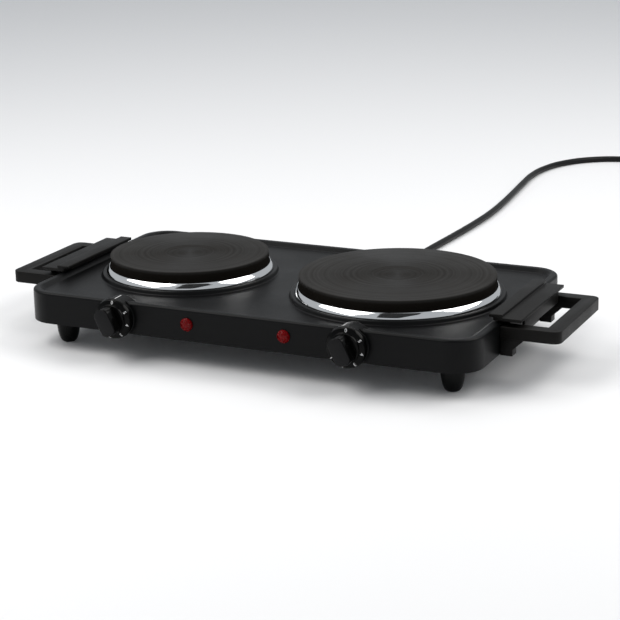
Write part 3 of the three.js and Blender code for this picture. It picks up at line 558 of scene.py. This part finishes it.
card_dark = new_material("card_dark", Base_Color=(0.02, 0.02, 0.02, 1), Roughness=0.8)[0]
card = stage_sheet("card", 0.5, (0.8, 1.4, 1), (0.44, -1.08, 1.3), card_dark)

# %% [markdown]
# ### The strain relief
# A ribbed vinyl sleeve keeps the lead from kinking where it leaves the wall. It is a turned piece:
# a groove near its flange grips the sheet, and the ribs behind get narrower towards its end. A
# Screw modifier could turn the profile, but a spun bmesh can have its edges eased straight away.

# %% Strain relief
rear_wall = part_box("top_pan")[1].y / MM
relief_front = gland_low.y / MM
relief_rear = gland_high.y / MM
FLANGE = 6.8
NECK = 5.2
RIBS = 6
sleeve = [
    (0, relief_front), (FLANGE, relief_front), (FLANGE, rear_wall - 1.5), (NECK, rear_wall - 1.5),
    (NECK, rear_wall + 0.3), (FLANGE, rear_wall + 0.3), (FLANGE, rear_wall + 4),
]
first_rib = rear_wall + 5
for rib in range(RIBS):
    at = first_rib + (relief_rear - first_rib) * rib / RIBS
    next_at = first_rib + (relief_rear - first_rib) * (rib + 1) / RIBS
    wide = 5.6 - 0.7 * rib / RIBS
    land = at + 0.6 * (next_at - at)
    sleeve += [(wide, at), (wide - 0.1, land), (wide - 0.6, land + 0.2), (wide - 0.6, next_at)]
sleeve[-1] = (4.5, relief_rear)
sleeve += [(3.9, relief_rear), (0, relief_rear)]
relief_bm = spun(sleeve, 48)
ease(relief_bm, 0.25, 2)
moved(relief_bm, facing_front(exit_point.x, exit_point.z))
finished(relief_bm, "strain_relief", cord_vinyl, ["cord_gland"])

# %% [markdown]
# ## The pan
# The pan is one steel sheet pressed into a shallow lid: a rounded rim, a sunken tray, a stepped
# collar under each plate and a hump behind each knob. It could be modelled face by face, but the
# humps cross the rim and the tray. Closed blocks joined with the Boolean modifier find those
# crossings, and one bevel with weights then rounds every fold, large at the rim, small elsewhere.

# %% Joining closed shapes
def combined(first, *others, operation="UNION"):
    """Joins closed bmeshes into one, or cuts the others away from the first."""
    holders = []
    for bm in (first, *others):
        mesh = bpy.data.meshes.new("joined")
        bm.to_mesh(mesh)
        bm.free()
        holders.append(bpy.data.objects.new("joined", mesh))
        bpy.context.scene.collection.objects.link(holders[-1])
    for other in holders[1:]:
        boolean = holders[0].modifiers.new("boolean", "BOOLEAN")
        boolean.operation = operation
        boolean.solver = "EXACT"
        boolean.object = other
    result = bmesh.new()
    result.from_object(holders[0], bpy.context.evaluated_depsgraph_get())
    for holder in holders:
        bpy.data.meshes.remove(holder.data)
    return result


# %% Pan measures
pan_low, pan_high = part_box("top_pan")
PAN_BOTTOM = pan_low.z / MM
RIM_TOP = 55.5
TRAY = 51.8
COLLAR_TOP = 55.8
SHEET = 1.2
BOSS_PROUD = 3.5
FRONT = pan_low.y / MM + BOSS_PROUD
REAR = pan_high.y / MM
HALF_LONG = pan_high.x / MM
PAN_CORNER = 28
RIM_FLAT = 6.5
RIM_SLOPE = 5
COLLAR_SPREAD = 9.3
COLLAR_SLOPE = 1.4
PLATE_LEDGE = 8
BOSS_RADIUS = 18.2
BOSS_LENGTH = 17
BOSS_TAPER = 15
BOSS_MARK = 5.2  # radius of the ring of vertices round the shaft's hole
BOSS_HOLE = 5
PLATES = {}
for side in ("small", "large"):
    middle, half = middle_of(f"{side}_hot_plate")
    PLATES[side] = (middle / MM, half.x / MM)
CONTROLS = {side: middle_of(f"{side}_control_shaft")[0] / MM for side in ("left", "right")}
LAMPS = {side: middle_of(f"{side}_neon_lamp")[0] / MM for side in ("left", "right")}
print("pan:", round(2 * HALF_LONG, 1), "by", round(REAR - FRONT, 1), "mm")


# %% Pan blocks
def pan_block():
    """The pan as a solid block with its tray sunk in the top."""
    bm = bmesh.new()
    bmesh.ops.create_cube(bm, size=1)
    size = Vector((2 * HALF_LONG, REAR - FRONT, RIM_TOP - PAN_BOTTOM)) * MM
    bmesh.ops.scale(bm, vec=size, verts=bm.verts)
    place = Vector((0, (FRONT + REAR) / 2, (RIM_TOP + PAN_BOTTOM) / 2)) * MM
    bmesh.ops.translate(bm, vec=place, verts=bm.verts)
    upright_edges = [e for e in bm.edges if abs(e.verts[0].co.z - e.verts[1].co.z) > MM]
    bmesh.ops.bevel(
        bm, geom=upright_edges, offset=PAN_CORNER * MM, segments=14, profile=0.5, affect="EDGES",
        material=-1,
    )
    top = [max(bm.faces, key=lambda face: face.calc_center_median().z)]
    bmesh.ops.inset_region(bm, faces=top, thickness=RIM_FLAT * MM, use_even_offset=True)
    bmesh.ops.inset_region(
        bm, faces=top, thickness=RIM_SLOPE * MM, depth=(TRAY - RIM_TOP) * MM, use_even_offset=True,
    )
    return bm


def collar(middle, radius):
    """A plate's stepped collar, with the edge of its hole marked by a ring of vertices."""
    edge = radius + COLLAR_SPREAD
    profile = [
        (0, TRAY - 4), (edge, TRAY - 4), (edge, TRAY), (edge - COLLAR_SLOPE, COLLAR_TOP),
        (radius - PLATE_LEDGE, COLLAR_TOP), (0, COLLAR_TOP),
    ]
    bm = spun(profile, 120)
    return moved(bm, Matrix.Translation((middle.x * MM, middle.y * MM, 0)))


def boss(control):
    """The hump behind a knob, cut off level with the pan's bottom edge."""
    face = FRONT - BOSS_PROUD
    back = face + BOSS_LENGTH
    profile = [
        (0, face), (BOSS_MARK, face), (BOSS_RADIUS, face), (BOSS_RADIUS, back), (9, back + BOSS_TAPER),
        (0, back + BOSS_TAPER),
    ]
    bm = moved(spun(profile, 72), facing_front(control.x * MM, control.z * MM))
    cut = bmesh.ops.bisect_plane(
        bm, geom=list(bm.verts) + list(bm.edges) + list(bm.faces), plane_co=(0, 0, PAN_BOTTOM * MM),
        plane_no=(0, 0, -1), clear_outer=True,
    )
    rim = [each for each in cut["geom_cut"] if isinstance(each, bmesh.types.BMEdge)]
    bmesh.ops.holes_fill(bm, edges=rim)
    bmesh.ops.recalc_face_normals(bm, faces=bm.faces)
    return bm


# %% Pan joined, opened and folded
pan = combined(
    pan_block(),
    *[collar(middle, radius) for middle, radius in PLATES.values()],
    *[boss(control) for control in CONTROLS.values()],
)
bmesh.ops.dissolve_degenerate(pan, dist=0.01 * MM, edges=pan.edges)


def in_hole(point):
    """Whether a point lies over a plate's hole, in a shaft's hole or on the open underside."""
    if point.z < (PAN_BOTTOM + 0.05) * MM:
        return True
    for middle, radius in PLATES.values():
        over_plate = math.hypot(point.x - middle.x * MM, point.y - middle.y * MM)
        if over_plate < (radius - PLATE_LEDGE) * MM and point.z > (COLLAR_TOP - 0.1) * MM:
            return True
    return point.y < FRONT * MM and any(
        math.hypot(point.x - control.x * MM, point.z - control.z * MM) < BOSS_HOLE * MM
        for control in CONTROLS.values()
    )


opened = [face for face in pan.faces if in_hole(face.calc_center_median())]
bmesh.ops.delete(pan, geom=opened, context="FACES")
weights = pan.edges.layers.float.new("bevel_weight_edge")
for fold in pan.edges:
    if fold.is_manifold and fold.calc_face_angle() > math.radians(20):
        top_edge = all(abs(vert.co.z - RIM_TOP * MM) < 0.01 * MM for vert in fold.verts)
        outer = all(
            abs(vert.co.x) > (HALF_LONG - PAN_CORNER) * MM
            or not FRONT + 3 < vert.co.y / MM < REAR - 3
            for vert in fold.verts
        )
        outward = any(abs(face.normal.z) < 0.1 for face in fold.link_faces)
        fold[weights] = 1.0 if top_edge and outer and outward else 0.4
pan_piece = finished(
    pan, "pan_shell", pan_paint, ["top_pan"], sharp=180,
)
fold_rounding = pan_piece.modifiers.new("folds", "BEVEL")
fold_rounding.limit_method = "WEIGHT"
fold_rounding.width = 2.5 * MM
fold_rounding.segments = 4
fold_rounding.use_clamp_overlap = False
wall = pan_piece.modifiers.new("sheet", "SOLIDIFY")
wall.thickness = SHEET * MM
wall.offset = -1
shading = pan_piece.modifiers.new("shading", "WEIGHTED_NORMAL")
shading.weight = 100

# %% [markdown]
# ## The hot plates
# Each plate is an iron casting with a machined face, a shallow dish in the middle and a skirt that
# sits down into its ring. A plate is a turned piece, so its half section is spun once round. The
# profile stays angular, and the bevel operator then rounds every corner of the spun shape at once.

# %% Iron plates
PLATE_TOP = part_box("large_hot_plate")[1].z / MM
SKIRT_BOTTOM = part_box("large_hot_plate")[0].z / MM
DISH_RADIUS = 23
DISH_DEPTH = 1.2
SLAB = 9
SKIRT_WALL = 5
dish = []
for step in range(9):
    swing = math.pi * step / 8
    dish.append((DISH_RADIUS - 3 + 0.75 * step, PLATE_TOP - DISH_DEPTH * (1 + math.cos(swing)) / 2))
for side, (middle, radius) in PLATES.items():
    casting = spun([
        (0, PLATE_TOP - DISH_DEPTH), *dish, (radius, PLATE_TOP), (radius, SKIRT_BOTTOM),
        (radius - SKIRT_WALL, SKIRT_BOTTOM), (radius - SKIRT_WALL, PLATE_TOP - SLAB),
        (4.3, PLATE_TOP - SLAB), (4.3, PLATE_TOP - SLAB + 3.3), (0, PLATE_TOP - SLAB + 3.3),
    ], 144)
    ease(casting, 0.9, 3)
    moved(casting, Matrix.Translation((middle.x * MM, middle.y * MM, 0)))
    name = f"{side}_iron_plate"
    finished(casting, name, plate_iron(name, middle * MM), [f"{side}_hot_plate"])

# %% [markdown]
# ## The trim rings
# A ring of thin polished steel lies on each collar. It has a flat foot, a slope that mirrors the
# room in a long band, and a rolled lip round the plate. Its wall could come from a Solidify
# modifier, but the lip is folded, so the section is drawn all round and spun as it stands.

# %% Rings
RING_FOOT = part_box("large_trim_ring")[0].z / MM
RING_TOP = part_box("large_trim_ring")[1].z / MM
RING_SHEET = 0.8
RING_SPREAD = 4.6
LIP_GAP = 0.8
RING_INNER = 4  # how far the foot reaches in under the plate
RING_SLOPE = ((0.5, 1.6), (1.1, 2.7), (1.85, 3.8), (2.7, 4.8))  # in from its edge, up from its foot
RING_UNDERSIDE = ((2.5, 3.4), (1.6, 2.0))
for side, (middle, radius) in PLATES.items():
    lip = radius + LIP_GAP
    edge = radius + RING_SPREAD
    inner = radius - RING_INNER
    trim = spun([
        (inner, RING_FOOT), (edge, RING_FOOT), (edge, RING_FOOT + 0.5),
        *[(edge - inward, RING_FOOT + up) for inward, up in RING_SLOPE],
        (lip + 0.5, RING_TOP), (lip, RING_TOP - 0.2), (lip, RING_TOP - 1.0),
        *[(edge - inward, RING_FOOT + up) for inward, up in RING_UNDERSIDE],
        (edge - 1.1, RING_FOOT + RING_SHEET), (inner, RING_FOOT + RING_SHEET), (inner, RING_FOOT),
    ], 180)
    ease(trim, 0.15, 2)
    moved(trim, Matrix.Translation((middle.x * MM, middle.y * MM, 0)))
    finished(
        trim, f"{side}_bright_ring", ring_chrome, [f"{side}_trim_ring"], sharp=50,
    )

# %% [markdown]
# ## The knobs
# A knob is a glossy skirt with the dial on its sloping face, and a bar across it to turn it by.
# The skirt is spun and the bar is a drawn-out outline, and the two are joined. The numbers are text
# made into thin mesh, laid on the slope and turned round the knob one by one, as a dial is printed.

# %% Knob bodies
KNOB_RADIUS = 19.4
KNOB_CONE = 1.2
DIAL_INNER = 14  # radius of the raised middle inside the numbers
DIAL_FALL = 1  # the numbered face falls back towards its edge
STEP = 2
GRIP_WIDE, GRIP_LONG, GRIP_CORNER = 16.5, 26.5, 6
GRIP_TILT = 26  # degrees that the bar leans at off
skirt_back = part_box("left_knob")[1].y / MM
grip_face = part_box("left_knob")[0].y / MM
SKIRT_FRONT = skirt_back - 5.2
HOLLOW = 3.6
KNOB_WALL = 5
GRIP_DRAFT = (0.94, 0.98)  # how much narrower and shorter the bar is at its face


def rounded_bar(wide, long, corner, low, high):
    """A block with rounded corners in plan, centred on Z."""
    bm = bmesh.new()
    bmesh.ops.create_cube(bm, size=1)
    bmesh.ops.scale(bm, vec=Vector((wide, long, high - low)) * MM, verts=bm.verts)
    bmesh.ops.translate(bm, vec=(0, 0, (low + high) / 2 * MM), verts=bm.verts)
    corners = [e for e in bm.edges if abs(e.verts[0].co.z - e.verts[1].co.z) > 0.1 * MM]
    bmesh.ops.bevel(
        bm, geom=corners, offset=corner * MM, segments=8, profile=0.5, affect="EDGES", material=-1,
    )
    return bm


def knob_body():
    """The skirt and its bar, turned about Z with the face at the low end."""
    skirt = spun([
        (0, skirt_back - HOLLOW), (KNOB_RADIUS - KNOB_WALL, skirt_back - HOLLOW),
        (KNOB_RADIUS - KNOB_WALL, skirt_back),
        (KNOB_RADIUS, skirt_back), (KNOB_RADIUS, skirt_back - 1.5),
        (KNOB_RADIUS - KNOB_CONE, SKIRT_FRONT + DIAL_FALL), (DIAL_INNER + 0.4, SKIRT_FRONT),
        (DIAL_INNER, SKIRT_FRONT - STEP), (0, SKIRT_FRONT - STEP),
    ], 96)
    bar = rounded_bar(GRIP_WIDE, GRIP_LONG, GRIP_CORNER, grip_face, SKIRT_FRONT)
    for vert in bar.verts:
        if vert.co.z < (grip_face + 1) * MM:
            vert.co.x *= GRIP_DRAFT[0]
            vert.co.y *= GRIP_DRAFT[1]
    ease(bar, 1.1, 3, 60)
    ease(skirt, 0.4, 3, 30)
    moved(bar, Matrix.Rotation(math.radians(-GRIP_TILT), 4, "Z"))
    return combined(skirt, bar)


for side, control in CONTROLS.items():
    body = f"{side}_control"
    knob = moved(knob_body(), facing_front(control.x * MM, control.z * MM))
    piece = finished(
        knob, f"{side}_dial_knob", knob_gloss, [f"{side}_knob"], body, 30,
    )
    piece.data.materials.append(grip_satin)
    for face in piece.data.polygons:
        if face.center.y < (grip_face + 0.3) * MM and face.normal.y < -0.9:
            face.material_index = 1

# %% Dial numbers
DIAL_ANGLES = (86, -142, -99, -56, -13, 30)  # where each number stands at off, from three o'clock
DIAL_EDGE = KNOB_RADIUS - KNOB_CONE
DIAL_RADIUS = (DIAL_EDGE + DIAL_INNER) / 2 + 0.3
NUMBER_HIGH = 3.3
SLOPE = math.atan2(DIAL_FALL, DIAL_EDGE - DIAL_INNER)


def number_mesh(text):
    """A number as a flat mesh about its own middle, standing on X, with its top along Y."""
    font = bpy.data.curves.new("number", "FONT")
    font.body = text
    font.size = NUMBER_HIGH * 1.4 * MM
    font.align_x = "CENTER"
    font.align_y = "CENTER"
    font.extrude = 0.04 * MM
    holder = bpy.data.objects.new("number", font)
    bpy.context.scene.collection.objects.link(holder)
    bpy.context.view_layer.update()
    flat_number = bpy.data.meshes.new_from_object(holder)
    bm = bmesh.new()
    bm.from_mesh(flat_number)
    bpy.data.objects.remove(holder)
    return bm


for side, control in CONTROLS.items():
    dial = bmesh.new()
    for number, stands in enumerate(DIAL_ANGLES):
        angle = math.radians(stands)
        bm = number_mesh(str(number))
        # Lean the number onto the slope, then stand it on the dial and turn it round the knob.
        lean = Matrix.Rotation(-SLOPE, 4, "X")
        to_rim = Matrix.Translation((0, DIAL_RADIUS * MM, 0))
        round_dial = Matrix.Rotation(angle - math.pi / 2, 4, "Z")
        face_front = Matrix.Rotation(math.radians(90), 4, "X")
        depth = (SKIRT_FRONT + DIAL_FALL / 2) * MM
        place = Matrix.Translation((control.x * MM, depth, control.z * MM))
        moved(bm, place @ face_front @ round_dial @ to_rim @ lean)
        flat = bpy.data.meshes.new("flat")
        bm.to_mesh(flat)
        bm.free()
        dial.from_mesh(flat)
        bpy.data.meshes.remove(flat)
    finished(dial, f"{side}_dial_numbers", white_print, (), f"{side}_control")

# %% Index lines
LINE_LONG = 12
LINE_ASIDE = {"left": 0, "right": -6}  # the right-hand line is printed off its knob's middle
LINE_WIDE = 0.9
for side, control in CONTROLS.items():
    mark = bmesh.new()
    bmesh.ops.create_cube(mark, size=1)
    bmesh.ops.scale(mark, vec=Vector((LINE_WIDE, LINE_LONG, 0.1)) * MM, verts=mark.verts)
    lean = Matrix.Rotation(math.asin(LINE_ASIDE[side] / BOSS_RADIUS), 4, "Y")
    middle = Vector((0, FRONT - 2 + LINE_LONG / 2, BOSS_RADIUS))
    shaft = Matrix.Translation(Vector((control.x, 0, control.z)) * MM)
    moved(mark, shaft @ lean @ Matrix.Translation(middle * MM))
    finished(mark, f"{side}_index_line", white_print)

# %% [markdown]
# ## The lamps
# Each lamp is a red jewel of clear plastic with upright ribs, which catch the light in stripes. The
# dome is spun and a row of planes cuts lines across it. Then the points on those lines are pressed
# in, so the ribs between them are real relief, and their highlights move as the view does.

# %% Lamp lenses
LENS_RADIUS = 6.2
LENS_PROUD = 4.5
LENS_BODY = 4.8
LENS_DEEP = 14
NEON_RADIUS = 2.7
RIB = 1.55
RIB_DEEP = 0.6
rib_count = int(2 * LENS_RADIUS / RIB)
cuts = [(step - rib_count / 2) * RIB for step in range(rib_count + 1)]
for side, lamp in LAMPS.items():
    face = FRONT - LENS_PROUD
    jewel = spun([
        (0, face), (3.4, face + 0.5), (5.0, face + 1.5), (5.9, face + 2.8),
        (LENS_RADIUS, FRONT - 0.9), (LENS_RADIUS, FRONT - 0.3), (LENS_BODY, FRONT - 0.3),
        (LENS_BODY, FRONT + LENS_DEEP),
        (NEON_RADIUS + 0.3, FRONT + LENS_DEEP), (NEON_RADIUS + 0.3, FRONT - 1), (0, FRONT - 1),
    ], 48)
    for cut in cuts:
        bmesh.ops.bisect_plane(
            jewel, geom=list(jewel.verts) + list(jewel.edges) + list(jewel.faces),
            plane_co=(cut * MM, 0, 0), plane_no=(1, 0, 0),
        )
    for vert in jewel.verts:
        on_cut = min(abs(vert.co.x / MM - cut) for cut in cuts) < 0.02
        if on_cut and vert.co.z / MM < FRONT - 1.5:
            vert.co.z += RIB_DEEP * MM
    moved(jewel, facing_front(lamp.x * MM, lamp.z * MM))
    finished(jewel, f"{side}_red_jewel", lens_red, [f"{side}_lamp_lens"], sharp=25)

# %% [markdown]
# ## The handles
# A handle is two mouldings: a saddle clipped over the pan's edge, and a loop under it that stands
# on two legs against the end wall. Both are drawn-out outlines. The loop's outer corners are
# rounded in plan, the legs are joined on, and one pass of the bevel operator softens every edge.

# %% Handle measures
loop_low, loop_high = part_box("right_handle_loop")
saddle_low, saddle_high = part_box("right_handle_saddle")
ARM = 13
BAR = 14.5
LOOP_CORNER = 8
LOOP_TOP = 51.8
LOOP_DEEP = 11.2
SADDLE_TIER = 59.5
SADDLE_THICK = 3
SADDLE_STEP = 2.5
LEG_OUT = 21
LEG_FOOT = 11.5


def outline_along_y(points, front, rear):
    """An outline of (x, z) pairs in mm, drawn out from front to rear."""
    bm = slab([(x, z) for x, z in points], -rear, -front)
    return moved(bm, Matrix.Rotation(math.radians(90), 4, "X"))


def handle_loop():
    """The right-hand loop with its two legs."""
    near, far = loop_low.x / MM, loop_high.x / MM
    front, rear = loop_low.y / MM, loop_high.y / MM
    loop = slab([
        (near, front), (far, front), (far, rear), (near, rear), (near, rear - ARM),
        (far - BAR, rear - ARM), (far - BAR, front + ARM), (near, front + ARM),
    ], LOOP_TOP - LOOP_DEEP, LOOP_TOP)
    outer = [
        e for e in loop.edges
        if abs(e.verts[0].co.z - e.verts[1].co.z) > MM and e.verts[0].co.x > (far - 1) * MM
    ]
    bmesh.ops.bevel(
        loop, geom=outer, offset=LOOP_CORNER * MM, segments=8, profile=0.5, affect="EDGES",
        material=-1,
    )
    low = LOOP_TOP - LOOP_DEEP
    foot = loop_low.z / MM
    leg = [
        (near, low + 2), (near, foot), (near + LEG_FOOT, foot), (near + LEG_FOOT, foot + 6),
        (near + LEG_OUT, low - 1), (near + LEG_OUT, low + 2),
    ]
    legs = [
        outline_along_y(leg, start + 1, start + ARM - 1) for start in (front, rear - ARM)
    ]
    joined = combined(loop, *legs)
    ease(joined, 1.3, 3, 45)
    return joined


def handle_saddle():
    """The right-hand saddle: two flat tiers and the web under them."""
    near, far = saddle_low.x / MM, saddle_high.x / MM
    front, rear = saddle_low.y / MM, saddle_high.y / MM
    top = saddle_high.z / MM
    under = SADDLE_TIER - SADDLE_THICK
    wall = loop_low.x / MM
    tiers = outline_along_y([
        (near, top), (near, top - SADDLE_THICK), (near + 4, top - SADDLE_THICK), (near + 4, under),
        (far, under), (far, SADDLE_TIER), (HALF_LONG + SADDLE_STEP, SADDLE_TIER),
        (HALF_LONG + SADDLE_STEP, top),
    ], front, rear)
    low = LOOP_TOP - LOOP_DEEP
    web = outline_along_y([
        (near + 4, under + 0.5), (near + 4, RIM_TOP + 0.4), (wall, RIM_TOP + 0.4), (wall, low),
        (wall + 5, low), (wall + 5, under - 3), (far - 3.5, under - 3), (far - 3.5, LOOP_TOP - 6),
        (far - 1, LOOP_TOP - 6), (far - 1, under + 0.5),
    ], front + ARM + 0.3, rear - ARM - 0.3)
    ease(tiers, 0.7, 3, 45)
    ease(web, 0.4, 2, 45)
    return combined(tiers, web)


# %% Handles at both ends
for side in ("right", "left"):
    for label, shape in (("loop", handle_loop()), ("saddle", handle_saddle())):
        if side == "left":
            bmesh.ops.scale(shape, vec=(-1, 1, 1), verts=shape.verts)
        finished(
            shape, f"{side}_grip_{label}", handle_plastic,
            [f"{side}_handle_{label}"],
        )

# %% [markdown]
# ## The feet
# A foot is a plastic bullet that narrows to a small flat on the table, screwed on from inside. Its
# curve is a quarter of an ellipse, worked out point by point, spun and rounded at the ground.

# %% Feet
FOOT_TOP_RADIUS = 11
FOOT_END_RADIUS = 4.8
FOOT_CURVE = 0.75  # share of the foot's height that is curved
FOOT_BORE = 2.3
FOOT_BORE_BOTTOM = 8
for corner in ("front_left", "front_right", "rear_left", "rear_right"):
    middle, half = middle_of(f"{corner}_foot")
    high = 2 * half.z / MM
    profile = [(0, 0)]
    for step in range(13):
        swing = math.radians(90 * step / 12)
        wide = FOOT_END_RADIUS + (FOOT_TOP_RADIUS - FOOT_END_RADIUS) * math.sin(swing)
        profile.append((wide, FOOT_CURVE * high * (1 - math.cos(swing))))
    profile += [
        (FOOT_TOP_RADIUS, high), (FOOT_BORE, high), (FOOT_BORE, FOOT_BORE_BOTTOM),
        (0, FOOT_BORE_BOTTOM),
    ]
    bullet = spun(profile, 48)
    ease(bullet, 0.5, 3, 50)
    moved(bullet, Matrix.Translation((middle.x, middle.y, 0)))
    finished(bullet, f"{corner}_bullet_foot", foot_plastic, [f"{corner}_foot"])

# %% [markdown]
# ## The plug
# The lead ends in a three-pin plug that lies on its back. Its body is a block with rounded corners,
# and a ribbed sleeve goes round the lead. The pins keep their CAD shape and get a brass finish.

# %% Plug body
plug_low, plug_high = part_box("plug_body")
sleeve_end = plug_high.y / MM
PLUG_LONG = 52
PLUG_CORNER = 12
SLEEVE_RIBS = 5
LEAD_HIGH = 10.5 * MM  # height of the lead's middle where it enters the plug
block_front = plug_low.y / MM
block_rear = block_front + PLUG_LONG
plug_x = (plug_low.x + plug_high.x) / 2
plug = rounded_bar((plug_high.x - plug_low.x) / MM, PLUG_LONG, PLUG_CORNER, 0, plug_high.z / MM)
ease(plug, 2.2, 4, 60)
moved(plug, Matrix.Translation((plug_x, (block_front + PLUG_LONG / 2) * MM, 0)))
neck = [(0, block_rear - 4), (8, block_rear - 4)]
for rib in range(SLEEVE_RIBS):
    at = block_rear + 1 + (sleeve_end - block_rear - 1) * rib / SLEEVE_RIBS
    wide = 7.6 - 2.6 * rib / SLEEVE_RIBS
    neck += [(wide, at), (wide - 0.3, at + 2.4), (wide - 1.1, at + 2.7), (wide - 1.2, at + 3.9)]
neck += [(4.95, sleeve_end), (0, sleeve_end)]
neck_bm = spun(neck, 40)
moved(neck_bm, facing_front(plug_x, LEAD_HIGH))
plug = combined(plug, neck_bm)
for pin in ("earth", "live", "neutral"):
    middle, half = middle_of(f"plug_{pin}_pin")
    pocket = bmesh.new()
    bmesh.ops.create_cube(pocket, size=1)
    bmesh.ops.scale(pocket, vec=2 * half + Vector((0.6, 0.6, 0)) * MM, verts=pocket.verts)
    bmesh.ops.translate(pocket, vec=middle, verts=pocket.verts)
    plug = combined(plug, pocket, operation="DIFFERENCE")
plug_piece = finished(plug, "plug_moulding", plug_plastic, ["plug_body"])

# %% [markdown]
# ## Parts that keep their CAD shape
# The base, the thermostats, the element beds, the screws and nuts are the right shape already, and
# most of them are seen only from below or not at all. They keep their meshes, and each gets the
# finish of what it is made from in place of its plain colour.

# %% CAD parts
KEPT = {
    base_paint: ["base_plate"],
    ceramic: ["terminal_block", "left_thermostat", "right_thermostat"],
    brass: ["left_control_shaft", "right_control_shaft"],
    neon_glass: ["left_neon_lamp", "right_neon_lamp"],
    plain_steel: ["left_panel_nut", "right_panel_nut", "left_lens_clip", "right_lens_clip"],
}
for side in ("small", "large"):
    KEPT[ceramic] += [f"{side}_element_bed", f"{side}_connector_block"]
    for part in ("cover_disc", "clamp_bar", "centre_stud", "clamp_nut", "base_nut"):
        KEPT[plain_steel].append(f"{side}_{part}")
for corner in ("front_left", "front_right", "rear_left", "rear_right"):
    KEPT[plain_steel].append(f"{corner}_foot_screw")
for side in ("left", "right"):
    KEPT[plain_steel] += [f"{side}_handle_front_screw", f"{side}_handle_rear_screw"]
KEPT[brass] += ["plug_earth_pin", "plug_live_pin", "plug_neutral_pin"]
for finish, nodes in KEPT.items():
    for node in nodes:
        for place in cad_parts[node].material_slots:
            place.material = finish
print("kept:", sum(len(nodes) for nodes in KEPT.values()), "CAD parts")
